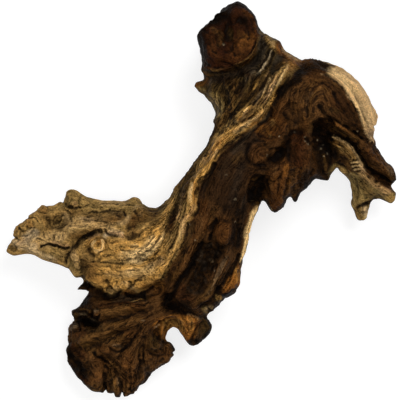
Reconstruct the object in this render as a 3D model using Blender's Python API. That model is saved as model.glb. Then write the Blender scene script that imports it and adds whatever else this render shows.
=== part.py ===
# A weathered mopani root, one piece of wood, lying on a surface as it is seen from above.
# X runs to the right and Y away from the viewer, Z is up, and the surface is at Z = 0.
# Tapering limbs are lofted and fused into one skin. The skin is then ridged, grooved and
# pitted along lines drawn over it, and cut flat at the three low spots that it rests on.
# The tables are in millimetres, measured from the middle of the outline.

import math

import bmesh
import bpy
import numpy as np
from mathutils import Matrix, Vector, noise

# Driving dimensions
ROOT_SPAN = 0.298  # from the left tip to the right tip, metres
DRAWN_SPAN = 298.0  # the same distance in the tables, millimetres
MM = ROOT_SPAN / DRAWN_SPAN
SKIN_VOXEL = 1.6 * MM  # cell that fuses the limbs into one skin
FILLET_PASSES = 10  # smoothing that rounds the hollows between limbs
RIB_HEIGHT = 0.05  # height of the ribs round a limb, as a share of its half width
GNARL_HEIGHT = 1.3  # millimetres
GNARL_SIZE = 17.0  # millimetres
REST_LEVEL = 0.0  # height in the tables at which the low spots are cut flat
MOST_TRIANGLES = 11400
RING_SIDES = 40
WOOD_COLOUR = (0.16, 0.085, 0.04, 1.0)
WOOD_ROUGHNESS = 0.55

# Limbs: the number of ribs round the limb, their turn along it in degrees, and the stations,
# each x, y, z, half width across the limb and half depth.
LIMBS = {
    "trunk": (9, 70, [
        (24, 112, 28, 24, 24), (29, 92, 36, 26, 28), (35.5, 66, 44, 25, 31), (33, 40, 48, 22.5, 31),
        (18, 11, 48, 31.5, 31), (7, -20, 46, 30, 29), (0.5, -50, 42, 30, 27), (-10, -74, 36, 23, 24),
        (-19, -83, 31, 12, 16)]),
    "cut_stub": (5, 20, [
        (29, 90, 30, 22, 22), (25, 104, 40, 23, 22), (22, 116, 52, 22.6, 22), (22, 122, 62, 21, 22)]),
    "stub_lip": (3, 20, [
        (28, 116, 48, 15, 18), (30.5, 130, 46, 12, 16), (29.5, 138, 42, 10.5, 13), (27, 146, 38, 6.5, 8)]),
    "stub_heel": (6, 30, [
        (26, 100, 26, 19, 20), (22, 118, 19, 20, 21), (25, 134, 23, 14, 15), (28, 146, 30, 7, 8)]),
    "neck": (5, 30, [
        (94, 86, 42, 14, 20), (72, 93, 42, 13, 20), (56, 104, 42, 13, 19), (42, 117, 42, 12, 17),
        (32, 128, 42, 9, 12)]),
    "shoulder": (9, 50, [
        (40, 84, 42, 22, 28), (62, 80, 47, 23, 30), (86, 76, 47, 27, 30), (106, 66, 42, 23.5, 27),
        (119, 46, 34, 13.5, 20), (131, 27, 28, 9, 13), (139.5, 20.5, 27, 8.5, 10), (146, 17.5, 26, 4.6, 6)]),
    "crest": (4, 20, [
        (70, 94, 40, 8, 14), (86, 96, 39, 10.5, 15), (103, 92, 36, 9, 15), (117, 79, 34, 9, 14),
        (125.5, 63, 32, 6, 12), (127, 50, 30, 3, 8)]),
    "left_limb": (11, 25, [
        (10, -28, 44, 30, 25), (-18, -32, 43, 30, 24), (-42, -36, 41, 29, 22), (-62, -33.5, 39, 33.5, 20),
        (-80, -30.5, 37, 31, 18), (-100, -24.5, 34, 27, 15), (-118, -26, 31, 19.5, 12.5),
        (-131, -29.5, 29, 12.5, 10), (-142, -36, 28, 5.5, 6.5), (-148, -37.5, 28, 2.6, 3.5)]),
    "lower_limb": (13, 15, [
        (-18, -66, 34, 26, 22), (-40, -80, 28, 31, 21), (-58, -96, 22, 36.5, 20), (-62.5, -113, 17, 41, 17.6),
        (-66.5, -128, 16, 32.5, 13.5), (-66, -139, 15, 25, 10), (-66, -147, 14, 15, 7), (-66, -152, 14, 9, 4)]),
    "left_lobe": (4, 20, [
        (-66, -86, 26, 15, 15), (-84, -86, 23, 9, 10), (-94, -86, 21, 5.5, 6), (-99, -86, 20, 3, 4)]),
    "lower_stub": (5, 20, [
        (-14, -78, 31, 14, 15), (-6, -91, 29, 13.5, 13), (-2.5, -99, 28, 12, 11.5), (-3.5, -105, 27, 8.5, 8.5),
        (-4.5, -109, 27, 4, 5)]),
    "side_toe": (4, 20, [
        (-46, -114, 20, 10, 11), (-31, -115, 19, 7.5, 9), (-23, -114.5, 18.5, 6, 7), (-18, -114, 18, 3.5, 4)]),
    "fold_a": (4, 40, [
        (60, 70, 52, 16, 23), (57, 42, 53, 18, 25), (57, 18, 50, 15, 22), (56.5, 3, 44, 9.5, 14), (56, -6, 40, 4, 7)]),
    "fold_b": (4, -30, [
        (80, 62, 54, 18, 23), (79, 40, 53, 17, 22), (77, 24, 48, 14, 18), (75, 13, 44, 8, 11), (72.5, 2, 41, 4, 6),
        (72, -3, 40, 2, 3)]),
    "fold_c": (4, 30, [
        (95, 52, 46, 15, 19), (95, 36, 43, 12, 15), (93.5, 24, 40, 9, 12), (93, 14, 39, 5, 6)]),
    "hook_rib": (4, 20, [
        (97, 46, 42, 9, 12), (110, 37, 38, 10, 13), (121, 25, 33, 10.5, 13), (131, 11.5, 29, 10, 10),
        (141, 3.8, 26, 5.4, 7), (148.5, -0.5, 25, 2.6, 3.5)]),
    "prong": (4, 20, [
        (118, 30, 32, 10, 12), (122, 14, 27, 8.5, 10), (121.5, 2, 23, 7.4, 9), (122, -8, 19, 5.4, 7),
        (121.5, -17.5, 17, 3.6, 4.4)]),
    "right_heel": (6, 30, [
        (96, 64, 30, 15, 16), (104, 55, 16, 14, 14), (109, 49, 6, 12, 12), (112, 46, -4, 9, 9)]),
    "left_knob": (3, 10, [
        (-80, -10, 38, 7, 9), (-90, -3, 40, 7.5, 9), (-95.5, 3, 41, 7, 8), (-97.5, 8, 41, 4.5, 5)]),
    "left_nub": (3, 10, [(-108, -14, 34, 7, 8), (-116, -8, 36, 5.5, 6), (-120, -4, 37, 3, 3)]),
    "saddle_peak": (3, 10, [(-54, -14, 36, 12, 9), (-50, -3.5, 36, 8, 7), (-48.5, 4, 36, 3, 4)]),
    "neck_spur": (3, 10, [(14, 84, 36, 9, 12), (4, 87, 36, 6, 8), (-6, 87.5, 36, 2, 3)]),
    "side_spur": (3, 10, [(-70, -66, 34, 9, 8), (-83, -65, 33, 5, 6), (-95, -68, 32, 1.8, 2.4)]),
    "crest_nib": (3, 10, [(124, 65, 32, 6, 7), (130, 63.5, 32, 3.6, 4), (135, 62, 32, 1.4, 2)]),
}

# Relief: height, half width and the x, y points of a line. A negative height is a groove or,
# over one point, a pit. These lines are drawn on the side that faces up.
RELIEF_ABOVE = [
    # left limb: broken end, slits, finger lobe, knots
    (-8, 6, [(-109, -14), (-103, -12)]),
    (-6, 4, [(-113, -16), (-106, -18)]),
    (2.4, 2.6, [(-138, -30), (-133, -25), (-129, -20), (-126, -14), (-120, -10)]),
    (-4, 4, [(-129, -27), (-119, -21)]),
    (-8, 2.4, [(-75, -23), (-80, -24.5), (-85, -27.5), (-92, -33)]),
    (-4, 2, [(-92, -33), (-98, -39), (-101, -46)]),
    (3, 5, [(-95, -21), (-78, -19)]),
    (-4.5, 2, [(-118, -34.5), (-109, -34), (-100, -36.5)]),
    (5, 4, [(-86, -33), (-92, -42), (-92, -51)]),
    (-4.5, 2.4, [(-87, -44), (-88, -60)]),
    (4, 2.4, [(-72, -31), (-76, -29), (-80, -33), (-79, -38), (-74, -38), (-72, -34)]),
    (-5, 3, [(-83, -38), (-80, -43)]),
    (3, 2.4, [(-50, 0), (-44, -12)]),
    (-3, 4, [(-50, -26), (-48, -20)]),
    (-4, 2, [(-71, -23), (-67, -26), (-62, -27)]),
    (2.5, 4, [(-64, -24), (-57, -27)]),
    (-2, 1.8, [(-90, -8), (-78, -10), (-66, -9)]),
    (-2, 1.8, [(-87, -13), (-66, -15)]),
    (3.5, 4, [(-84, -60), (-72, -61), (-60, -65), (-48, -65), (-40, -60), (-32, -56)]),
    (-5, 2, [(-70, -58), (-66, -68)]),
    (-5, 2, [(-44, -58), (-50, -62), (-55, -70)]),
    (-9, 3.5, [(-88, -67), (-75, -72), (-60, -72), (-40, -70), (-32, -66)]),
    # bend of the grain from the left limb into the trunk
    (2.4, 2.2, [(-52, -43), (-40, -37), (-33, -29), (-27, -18), (-20, -4)]),
    (2.4, 2.2, [(-38, -38), (-30, -30), (-24, -18), (-17, 0), (-8, 16)]),
    (-2.4, 2.2, [(-60, -46), (-42, -43), (-33, -35), (-25, -22), (-17, -6)]),
    (-2.6, 3, [(-8, 24), (-15, 5), (-21, -10), (-27, -22)]),
    # pale crest of the trunk and the furrow on its right
    (4, 4.5, [
        (66, 101), (61, 93), (53, 80), (45, 66), (30, 55), (20, 47), (12, 37), (5, 27), (-1, 16), (-6, 3),
        (-7, -8), (-12, -20), (-16, -33), (-22, -43), (-30, -53)]),
    (-3.5, 2.4, [
        (75, 100), (66, 88), (57, 73), (43, 56), (28, 45), (16, 36), (9, 22), (2, 10), (0, -3), (-6, -16),
        (-9, -32), (-17, -47), (-26, -60)]),
    (-4, 3, [(1, -28), (-7, -47), (-15, -60), (-22, -72)]),
    # lower trunk: dome, gnarled hollow, thin ridge
    (5, 7, [(17, -29), (18, -22)]),
    (-4.5, 2.6, [(11, -14), (8, -22), (11, -34)]),
    (-9, 7, [(6, -40), (2, -50)]),
    (-6, 5, [(-3, -60)]),
    (3, 2.4, [(2, -44), (8, -47)]),
    (4.5, 2, [(20, -42), (15, -54), (11, -63), (8, -69), (-5, -78)]),
    (-4, 2.2, [(30, -42), (26, -52), (19, -62)]),
    (-5, 3, [(14, -68)]),
    (3.5, 3, [(14, -74)]),
    (3, 3, [(4, -80)]),
    (-9, 4, [(-27, -74), (-18, -80), (-10, -85)]),
    (2.5, 3, [(41, -2), (38, -12), (35, -25), (32, -38)]),
    (-3, 2.6, [(36, 4), (33, -12), (29, -26), (26, -38)]),
    # cut stub and neck
    (-3, 11, [(22, 121)]),
    (-4.5, 4, [(14, 136)]),
    (-4.5, 4, [(30, 134)]),
    (3, 4, [(11, 124), (14, 118)]),
    (-3.5, 2, [(20, 132), (20, 122), (24, 113)]),
    (4, 2.6, [(44, 122), (42, 115), (39, 109), (34, 105), (28, 101), (20, 98), (10, 97), (3, 98)]),
    (-3.5, 3, [(48, 114), (39, 101), (30, 95), (18, 91), (4, 91)]),
    (-2.6, 2.2, [(54, 122), (49, 106), (44, 96), (34, 82), (26, 66)]),
    (-2.4, 2.2, [(64, 112), (56, 99), (47, 86), (38, 74)]),
    (-2.4, 2.2, [(11, 90), (18, 76), (20, 62), (16, 48)]),
    # folds that hang from the trunk
    (4, 6, [(38, 31), (48, 38)]),
    (-10, 4.5, [(58, 30), (62, 36)]),
    (4, 6, [(73, 26), (73, 42)]),
    (-6, 3, [(72, 49)]),
    (3.5, 3, [(66, 25), (60, 5), (56, -6)]),
    (-10, 5, [(43, 13), (44, 2)]),
    (-6, 3, [(64, 66)]),
    (3.5, 2.6, [(67, 54), (62, 44), (53, 38)]),
    (-3.5, 2.2, [(78, 82), (74, 62), (66, 50)]),
    (-3.5, 2.2, [(63, 67), (55, 56), (44, 48)]),
    (-5, 2.4, [(67, 22), (65, 8), (66, -3)]),
    (-4, 2.2, [(85, 30), (84, 20), (83, 14)]),
    (-15, 8, [(93, 52), (95, 42), (94, 34)]),
    # rounded shoulder with its rings
    (-3.5, 2.2, [(80, 58), (78, 74), (83, 86), (92, 89), (99, 82), (100, 74)]),
    (-3.5, 2.2, [(84, 66), (85, 77), (91, 80), (95, 74)]),
    (2.5, 2.2, [(71, 66), (72, 82), (79, 93)]),
    (3.5, 3, [(84, 95), (93, 93), (101, 87), (108, 80), (113, 71), (118, 62), (122, 52), (130, 43)]),
    (-4, 2.4, [(92, 99), (104, 92), (113, 82), (119, 71), (124, 58), (128, 48)]),
    (-4.5, 2.2, [(88, 71), (97, 63), (104, 57), (112, 52), (118, 46)]),
    # two ridges of the hook
    (4, 4.5, [(92, 60), (100, 57), (110, 50), (118, 43), (125, 35), (135, 27), (144, 19)]),
    (-8, 2.6, [(98, 50), (111, 45), (116, 39), (121, 30), (127, 23), (135, 18), (142, 13)]),
    (3, 3, [(100, 45), (109, 40), (116, 32), (122, 23), (129, 15), (137, 8), (145, 1)]),
    (-3, 2, [(118, -5), (125, -3), (132, 1)]),
    # lower fan: hole, ribs that spread downwards, cracks
    (-13, 4.6, [(-88, -91), (-81, -91)]),
    (4, 2.6, [(-86, -83), (-77, -86), (-75, -94)]),
    (4, 3, [(-74, -84), (-52, -79), (-38, -76)]),
    (-4.5, 2.4, [(-75, -95), (-65, -90), (-56, -87), (-42, -85)]),
    (3.5, 3, [(-42, -88), (-64, -97), (-84, -104), (-93, -106)]),
    (-4, 2.4, [(-46, -95), (-66, -104), (-84, -112), (-102, -117)]),
    (3.5, 3, [(-44, -98), (-60, -106), (-76, -116), (-90, -128)]),
    (-6.5, 2.2, [(-80, -114), (-72, -119), (-63, -127), (-59.5, -136), (-59, -152)]),
    (-4.5, 2.2, [(-45, -97), (-52, -107), (-60, -113), (-67, -109)]),
    (-9, 2.6, [(-72, -124), (-71, -134), (-71, -142), (-72, -150)]),
    (-4.5, 2.4, [(-84, -122), (-88, -132), (-92, -138)]),
    (3, 3, [(-52, -116), (-51, -130), (-50, -146)]),
    (-5, 2.2, [(-42, -104), (-44, -118), (-43, -128), (-41, -140)]),
    (3, 2.4, [(-38, -108), (-34, -103), (-30, -108), (-33, -112), (-38, -110)]),
    (-4, 2.2, [(-36, -116), (-30, -120), (-28, -128)]),
    (-9, 4, [(-32, -101), (-25, -101), (-18, -98)]),
]

# The same for the side that faces down.
RELIEF_BELOW = [
    (-5, 4, [(32, 92), (38, 60), (22, 20), (4, -30), (-12, -70)]),
    (-4, 3, [(14, 84), (20, 50), (0, 10), (-20, -24), (-60, -36)]),
    (4, 5, [(60, 78), (48, 50), (34, 14), (24, -24), (14, -60)]),
    (4, 4, [(-130, -30), (-96, -26), (-60, -20), (-24, -10)]),
    (-4, 3, [(-122, -24), (-90, -36), (-56, -46), (-30, -56)]),
    (6, 7, [(-14, -42)]),
    (-7, 6, [(66, 52)]),
    (4, 3, [(72, 60), (60, 58), (58, 48), (64, 42), (74, 46)]),
    (-6, 5, [(78, 30), (84, 14)]),
    (4, 5, [(-40, -84), (-62, -104), (-80, -122)]),
    (-4, 3, [(-34, -96), (-48, -118), (-54, -140)]),
]

# The same for the flanks, with lines drawn in space.
RELIEF_FLANKS = [
    # left side of the neck and trunk, down to the left limb
    (-4, 2.8, [
        (0, 106, 32), (6, 86, 38), (10, 66, 42), (5, 46, 44), (-8, 28, 42), (-24, 4, 40), (-44, -4, 34)]),
    (3.5, 3, [(2, 102, 20), (8, 80, 28), (12, 62, 30), (8, 44, 30), (-4, 24, 30), (-20, 4, 32)]),
    (-4.5, 3, [(6, 98, 14), (12, 76, 20), (16, 56, 20), (12, 38, 20), (0, 18, 22), (-20, -2, 26)]),
    # left limb, far side and near side
    (-3.5, 2.2, [(-46, -3, 33), (-60, -1, 34), (-80, 0, 32), (-100, -1, 30), (-112, -7, 30)]),
    (3, 2.4, [(-50, -5, 27), (-75, -5, 26), (-100, -7, 25)]),
    (-3.5, 2.4, [(-134, -38, 29), (-112, -47, 32), (-96, -54, 34), (-84, -62, 36)]),
    # right side of the trunk
    (-4, 2.6, [(44, -4, 46), (37, -24, 42), (32, -44, 38), (27, -64, 34)]),
    (3.5, 3, [(43, -6, 34), (36, -26, 31), (31, -46, 28), (24, -66, 25)]),
    (-4.5, 3, [(38, -6, 24), (32, -26, 21), (26, -48, 19), (16, -68, 18)]),
    # outer side of the neck and shoulder
    (-4, 2.6, [(48, 124, 40), (62, 112, 42), (84, 106, 42), (106, 97, 38), (122, 80, 34), (130, 62, 30)]),
    (3.5, 3, [(50, 120, 28), (66, 108, 29), (88, 104, 28), (108, 93, 26), (124, 74, 24)]),
    (-4, 2.6, [(56, 112, 20), (76, 100, 20), (98, 92, 19), (114, 78, 18)]),
    (-4, 2.6, [(130, 68, 22), (130, 52, 20), (133, 38, 20), (142, 26, 22)]),
    (3.5, 3, [(122, 76, 12), (125, 56, 10), (126, 40, 13), (134, 26, 17)]),
    (-4, 3, [(114, 78, 6), (118, 60, 2), (119, 44, 0)]),
    (-3.5, 2.6, [(100, 70, 14), (106, 60, 2), (110, 54, -8)]),
    # round the stub
    (-4, 2.4, [(44, 126, 58), (45, 122, 38), (42, 116, 14)]),
    (3, 2.6, [(38, 138, 52), (40, 132, 30), (38, 124, 8)]),
    (-4.5, 2.6, [(24, 149, 48), (26, 148, 30), (26, 142, 12)]),
    (-4, 2.4, [(8, 136, 50), (6, 130, 30), (8, 124, 8)]),
    (3, 2.6, [(-1, 122, 54), (0, 118, 36), (4, 112, 12)]),
    # flanks of the lower fan
    (-3.5, 2.4, [(-101, -110, 24), (-101, -112, 14), (-94, -112, 4)]),
    (-3.5, 2.4, [(-90, -134, 22), (-90, -134, 12), (-82, -130, 3)]),
    (-3.5, 2.4, [(-46, -142, 20), (-47, -140, 10), (-48, -132, 2)]),
]


def clear_scene():
    for found in list(bpy.data.objects):
        bpy.data.objects.remove(found)


def smooth_path(rows, steps):
    """Points on a curve that passes through the rows, with the given steps between two of them."""
    rows = np.array(rows, float)
    padded = np.vstack([2 * rows[0] - rows[1], rows, 2 * rows[-1] - rows[-2]])
    made = []
    for before, start, end, after in zip(padded, padded[1:], padded[2:], padded[3:]):
        for t in np.arange(steps) / steps:
            made.append(
                start
                + 0.5 * t * (end - before)
                + t * t * (before - 2.5 * start + 2 * end - 0.5 * after)
                + t ** 3 * (1.5 * start - 1.5 * end + 0.5 * after - 0.5 * before)
            )
    made.append(rows[-1])
    return np.array(made)


def add_limb(mesh, ribs, twist, stations):
    """A closed tapering limb, with ribs that turn round it."""
    path = smooth_path(stations, 6)
    rings = []
    for i, (x, y, z, half_width, half_depth) in enumerate(path):
        ahead, behind = path[min(i + 1, len(path) - 1)], path[max(i - 1, 0)]
        along = Vector(ahead[:3] - behind[:3]).normalized()
        side = along.cross(Vector((0, 0, 1))).normalized()
        up = side.cross(along)
        turn = math.radians(twist) * i / (len(path) - 1)
        ring = []
        for k in range(RING_SIDES):
            angle = 2 * math.pi * k / RING_SIDES
            swell = 1 + RIB_HEIGHT * (math.cos(ribs * (angle + turn)) + 0.5 * math.cos(3 * angle - 2 * turn))
            across = side * half_width * math.cos(angle)
            through = up * half_depth * math.sin(angle)
            ring.append(mesh.verts.new((Vector((x, y, z)) + (across + through) * swell) * MM))
        rings.append(ring)
    for ring, following in zip(rings, rings[1:]):
        for k in range(RING_SIDES):
            n = (k + 1) % RING_SIDES
            mesh.faces.new((ring[k], ring[n], following[n], following[k]))
    mesh.faces.new(list(reversed(rings[0])))
    mesh.faces.new(rings[-1])


def add_object(name, data):
    made = bpy.data.objects.new(name, data)
    bpy.context.scene.collection.objects.link(made)
    return made


def lofted_limbs():
    mesh = bmesh.new()
    for ribs, twist, stations in LIMBS.values():
        add_limb(mesh, ribs, twist, stations)
    bmesh.ops.recalc_face_normals(mesh, faces=mesh.faces)
    data = bpy.data.meshes.new("limbs")
    mesh.to_mesh(data)
    mesh.free()
    return add_object("limbs", data)


def add_remesh(target, voxel):
    remesh = target.modifiers.new("Fuse", "REMESH")
    remesh.mode = "VOXEL"
    remesh.voxel_size = voxel


def add_smooth(target, passes):
    smooth = target.modifiers.new("Fillet", "SMOOTH")
    smooth.iterations = passes


def applied(source, name):
    """A new object that holds the source's mesh with its modifiers applied."""
    bpy.context.view_layer.update()
    graph = bpy.context.evaluated_depsgraph_get()
    made = add_object(name, bpy.data.meshes.new_from_object(source.evaluated_get(graph)))
    bpy.data.objects.remove(source)
    return made


def line_distance(points, line):
    """Distance from each point to a line of one or more points."""
    ends = np.array(line if len(line) > 1 else line * 2, float)
    nearest = np.full(len(points), np.inf)
    for a, b in zip(ends, ends[1:]):
        run = b - a
        share = np.clip((points - a) @ run / max(run @ run, 1e-9), 0, 1)
        nearest = np.minimum(nearest, np.linalg.norm(points - a - share[:, None] * run, axis=1))
    return nearest


def relief_height(places, table):
    """Height of the relief at each place, for lines drawn in plan or in space."""
    height = np.zeros(len(places))
    for rise, half_width, line in table:
        measured = places[:, : len(line[0])]
        height += rise * np.exp(-((line_distance(measured, line) / half_width) ** 2))
    return height


def gnarl_height(places):
    """Uneven swelling over the whole root."""
    return np.array([noise.fractal(Vector(place) / GNARL_SIZE, 1.0, 2.0, 2) for place in places])


def carve(root):
    count = len(root.data.vertices)
    flat = np.empty(count * 3)
    root.data.vertices.foreach_get("co", flat)
    places = flat.reshape(-1, 3) / MM
    root.data.vertex_normals.foreach_get("vector", flat)
    facing = flat.reshape(-1, 3).copy()
    above = np.clip((facing[:, 2] + 0.35) / 0.5, 0, 1)
    below = np.clip((-facing[:, 2] - 0.1) / 0.4, 0, 1)
    flank = np.clip((0.9 - np.abs(facing[:, 2])) / 0.3, 0, 1)
    height = (
        relief_height(places, RELIEF_ABOVE) * above
        + relief_height(places, RELIEF_BELOW) * below
        + relief_height(places, RELIEF_FLANKS) * flank
        + GNARL_HEIGHT * gnarl_height(places)
    )
    places += facing * height[:, None]
    root.data.vertices.foreach_set("co", (places * MM).ravel())
    root.data.update()


def thin_out(root):
    root.data.calc_loop_triangles()
    decimate = root.modifiers.new("Thin out", "DECIMATE")
    decimate.ratio = MOST_TRIANGLES / len(root.data.loop_triangles)
    decimate.use_collapse_triangulate = True


def rest_flat(root):
    """Cuts the low spots off at one level and closes each cut with a flat face."""
    mesh = bmesh.new()
    mesh.from_mesh(root.data)
    level = REST_LEVEL * MM
    for vertex in mesh.verts:
        if abs(vertex.co.z - level) < 0.25 * MM:
            vertex.co.z = level
    whole = mesh.verts[:] + mesh.edges[:] + mesh.faces[:]
    cut = bmesh.ops.bisect_plane(
        mesh, geom=whole, dist=1e-7, plane_co=(0, 0, level), plane_no=(0, 0, -1), clear_outer=True)
    rim = [part for part in cut["geom_cut"] if isinstance(part, bmesh.types.BMEdge)]
    bmesh.ops.edgenet_fill(mesh, edges=rim)
    bmesh.ops.triangulate(mesh, faces=[face for face in mesh.faces if len(face.verts) > 3])
    bmesh.ops.recalc_face_normals(mesh, faces=mesh.faces)
    mesh.to_mesh(root.data)
    mesh.free()


def stand_at_origin(root):
    """The middle of the root's box goes over the origin and its lowest faces on the surface."""
    corners = np.array([vertex.co for vertex in root.data.vertices])
    low, high = corners.min(axis=0), corners.max(axis=0)
    middle = (low + high) / 2
    root.data.transform(Matrix.Translation((-middle[0], -middle[1], -low[2])))


def wood_material():
    wood = bpy.data.materials.new("mopani_wood")
    wood.use_nodes = True
    surface = wood.node_tree.nodes["Principled BSDF"]
    surface.inputs["Base Color"].default_value = WOOD_COLOUR
    surface.inputs["Roughness"].default_value = WOOD_ROUGHNESS
    surface.inputs["Metallic"].default_value = 0.0
    return wood


def main():
    clear_scene()
    limbs = lofted_limbs()
    add_remesh(limbs, SKIN_VOXEL)
    add_smooth(limbs, FILLET_PASSES)
    skin = applied(limbs, "skin")
    carve(skin)
    add_remesh(skin, SKIN_VOXEL)
    add_smooth(skin, 1)
    full = applied(skin, "full")
    thin_out(full)
    root = applied(full, "mopani_root")
    rest_flat(root)
    stand_at_origin(root)
    root.data.materials.append(wood_material())


main()
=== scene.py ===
import math

import bpy
import numpy as np
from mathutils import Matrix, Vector


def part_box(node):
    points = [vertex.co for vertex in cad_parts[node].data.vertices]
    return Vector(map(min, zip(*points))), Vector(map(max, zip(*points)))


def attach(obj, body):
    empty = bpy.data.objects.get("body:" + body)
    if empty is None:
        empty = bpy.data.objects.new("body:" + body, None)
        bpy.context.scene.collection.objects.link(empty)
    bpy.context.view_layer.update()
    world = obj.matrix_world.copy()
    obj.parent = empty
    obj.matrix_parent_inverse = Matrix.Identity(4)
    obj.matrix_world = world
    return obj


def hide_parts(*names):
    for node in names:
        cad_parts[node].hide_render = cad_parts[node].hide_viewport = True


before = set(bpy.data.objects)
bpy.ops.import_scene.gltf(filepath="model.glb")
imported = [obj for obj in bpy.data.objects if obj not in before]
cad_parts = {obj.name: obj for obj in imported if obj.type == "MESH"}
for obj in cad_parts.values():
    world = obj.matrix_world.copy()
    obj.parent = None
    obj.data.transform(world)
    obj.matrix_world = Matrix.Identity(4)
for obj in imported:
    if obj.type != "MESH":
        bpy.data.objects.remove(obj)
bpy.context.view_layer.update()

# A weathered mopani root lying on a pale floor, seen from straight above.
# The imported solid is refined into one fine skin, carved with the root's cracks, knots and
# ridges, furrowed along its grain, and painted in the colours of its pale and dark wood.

metre = 1000.0      # in millimetres
millimetre = 0.001  # in metres

# The tables below are in millimetres on a drawing of the root as the camera sees it:
# x to the right, y up, from the middle of the picture. A line is a run of x, y, x, y.
drawing = {
    "middle": (0.379, -1.322),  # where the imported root's own middle is on the drawing
    "viewDistance": 1250.0,  # from the camera to the level below
    "level": 45.0,  # height at which the drawing is true to size
    "farAway": 400.0,  # further than any two places are apart
}


def smoothLine(points, steps=3):
    # a curve through the points, for lines of three points or more
    rows = np.array(points, float).reshape(-1, 2)
    if len(rows) < 3:
        return rows if len(rows) > 1 else np.vstack([rows, rows])
    padded = np.vstack([2 * rows[0] - rows[1], rows, 2 * rows[-1] - rows[-2]])
    made = []
    for before, start, end, after in zip(padded, padded[1:], padded[2:], padded[3:]):
        for t in np.arange(steps) / steps:
            made.append(
                start + 0.5 * t * (end - before)
                + t * t * (before - 2.5 * start + 2 * end - 0.5 * after)
                + t ** 3 * (1.5 * start - 1.5 * end + 0.5 * after - 0.5 * before))
    made.append(rows[-1])
    return np.array(made)


def nearLine(places, line, reach):
    # which places lie within reach of the line's box, and how far they are from the line
    low, high = line.min(axis=0) - reach, line.max(axis=0) + reach
    near = np.flatnonzero(((places > low) & (places < high)).all(axis=1))
    chosen = places[near]
    nearest = np.full(len(near), np.inf)
    for a, b in zip(line, line[1:]):
        run = b - a
        share = np.clip((chosen - a) @ run / max(run @ run, 1e-9), 0, 1)
        nearest = np.minimum(nearest, np.linalg.norm(chosen - a - share[:, None] * run, axis=1))
    return near, nearest


def insideArea(places, corners):
    # how deep each place lies inside a closed area, negative outside
    ring = np.array(corners + corners[:2], float).reshape(-1, 2)
    near, away = nearLine(places, ring, drawing["farAway"])
    inside = np.zeros(len(places), bool)
    for (ax, ay), (bx, by) in zip(ring, ring[1:]):
        crosses = (ay > places[:, 1]) != (by > places[:, 1])
        level = (bx - ax) * (places[:, 1] - ay) / (by - ay if by != ay else 1e-9) + ax
        inside ^= crosses & (places[:, 0] < level)
    depth = np.full(len(places), drawing["farAway"])
    depth[near] = away
    return np.where(inside, depth, -depth)


def fromPoint(places, x, y):
    return np.hypot(places[:, 0] - x, places[:, 1] - y)


def wobble(places, size, seed, waves=9):
    # soft uneven waves about 0, of about the given size in millimetres
    chance = np.random.default_rng(seed)
    total = np.zeros(len(places))
    for _ in range(waves):
        direction = chance.normal(size=places.shape[1])
        direction *= chance.uniform(0.6, 1.6) / np.linalg.norm(direction)
        total += np.sin(places @ direction * 2 * math.pi / size + chance.uniform(0, 2 * math.pi))
    return total / waves * 2


def wobbles(places, kinds):
    # several wobbles in one, each given as strength, size, seed and the number of waves
    return sum(strength * wobble(places, *kind) for strength, *kind in kinds)


def drift(places, amount, size, seed):
    # an uneven shift to the right and up
    return amount * np.column_stack([wobble(places, size, seed), wobble(places, size, seed + 1)])


def fade(value, start, end):
    # 0 at start, 1 at end and smooth between them
    share = np.clip((value - start) / (end - start), 0, 1)
    return share * share * (3 - 2 * share)


def hump(value, middle, width):
    return np.exp(-((value - middle) / width) ** 2)


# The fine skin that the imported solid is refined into.
skin = {
    "voxel": 0.88,  # millimetres, cell of the remeshed skin
    "weld": 0.001,  # millimetres, how close two corners are one
    "softening": 5,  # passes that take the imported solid's facets away
    "triangles": 193000,
    "belowFacing": -0.3,  # upward share of the normal under which a vertex counts as hidden
    "belowShare": 0.3,  # how much of the underside's density stays
    "rings": (4, 14),  # passes of smoothing that hollows are measured against
}


def freshObject(name, data):
    made = bpy.data.objects.new(name, data)
    bpy.context.scene.collection.objects.link(made)
    return made


def applied(source, name):
    # a new object with the source's modifiers made real
    bpy.context.view_layer.update()
    graph = bpy.context.evaluated_depsgraph_get()
    mesh = bpy.data.meshes.new_from_object(source.evaluated_get(graph))
    bpy.data.objects.remove(source)
    return freshObject(name, mesh)


def refineSkin(node):
    rough = freshObject("roughSkin", node.data.copy())
    weld = rough.modifiers.new("Weld", "WELD")
    weld.merge_threshold = skin["weld"] * millimetre
    rounder = rough.modifiers.new("Rounder", "SUBSURF")
    rounder.levels = rounder.render_levels = 1
    remesh = rough.modifiers.new("Remesh", "REMESH")
    remesh.mode = "VOXEL"
    remesh.voxel_size = skin["voxel"] * millimetre
    soften = rough.modifiers.new("Soften", "SMOOTH")
    soften.iterations = skin["softening"]
    return applied(rough, "fineSkin")


def thinSkin(root):
    # fewer triangles, most of them on the side that is seen
    root.data.calc_loop_triangles()
    before = len(root.data.loop_triangles)
    hidden = np.flatnonzero(readFacing(root.data)[:, 2] < skin["belowFacing"])
    root.vertex_groups.new(name="below").add(hidden.tolist(), 1.0, "REPLACE")
    left = 1 - (1 - skin["belowShare"]) * len(hidden) / len(root.data.vertices)
    thinBelow = root.modifiers.new("ThinBelow", "DECIMATE")
    thinBelow.ratio = left
    thinBelow.vertex_group = "below"
    thinAll = root.modifiers.new("ThinAll", "DECIMATE")
    thinAll.ratio = min(1.0, skin["triangles"] / (before * left))
    thinBelow.use_collapse_triangulate = thinAll.use_collapse_triangulate = True
    root = applied(root, "mopaniWood")
    root.vertex_groups.clear()
    print("skin of", len(root.data.polygons), "triangles")
    return root


def readRows(rows, name):
    flat = np.empty(len(rows) * 3, np.float32)
    rows.foreach_get(name, flat)
    return flat.reshape(-1, 3).astype(float)


def readPlaces(mesh):
    return readRows(mesh.vertices, "co") * metre


def readFacing(mesh):
    return readRows(mesh.vertex_normals, "vector")


def writePlaces(mesh, places):
    mesh.vertices.foreach_set("co", (places * millimetre).astype(np.float32).ravel())
    mesh.update()


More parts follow.
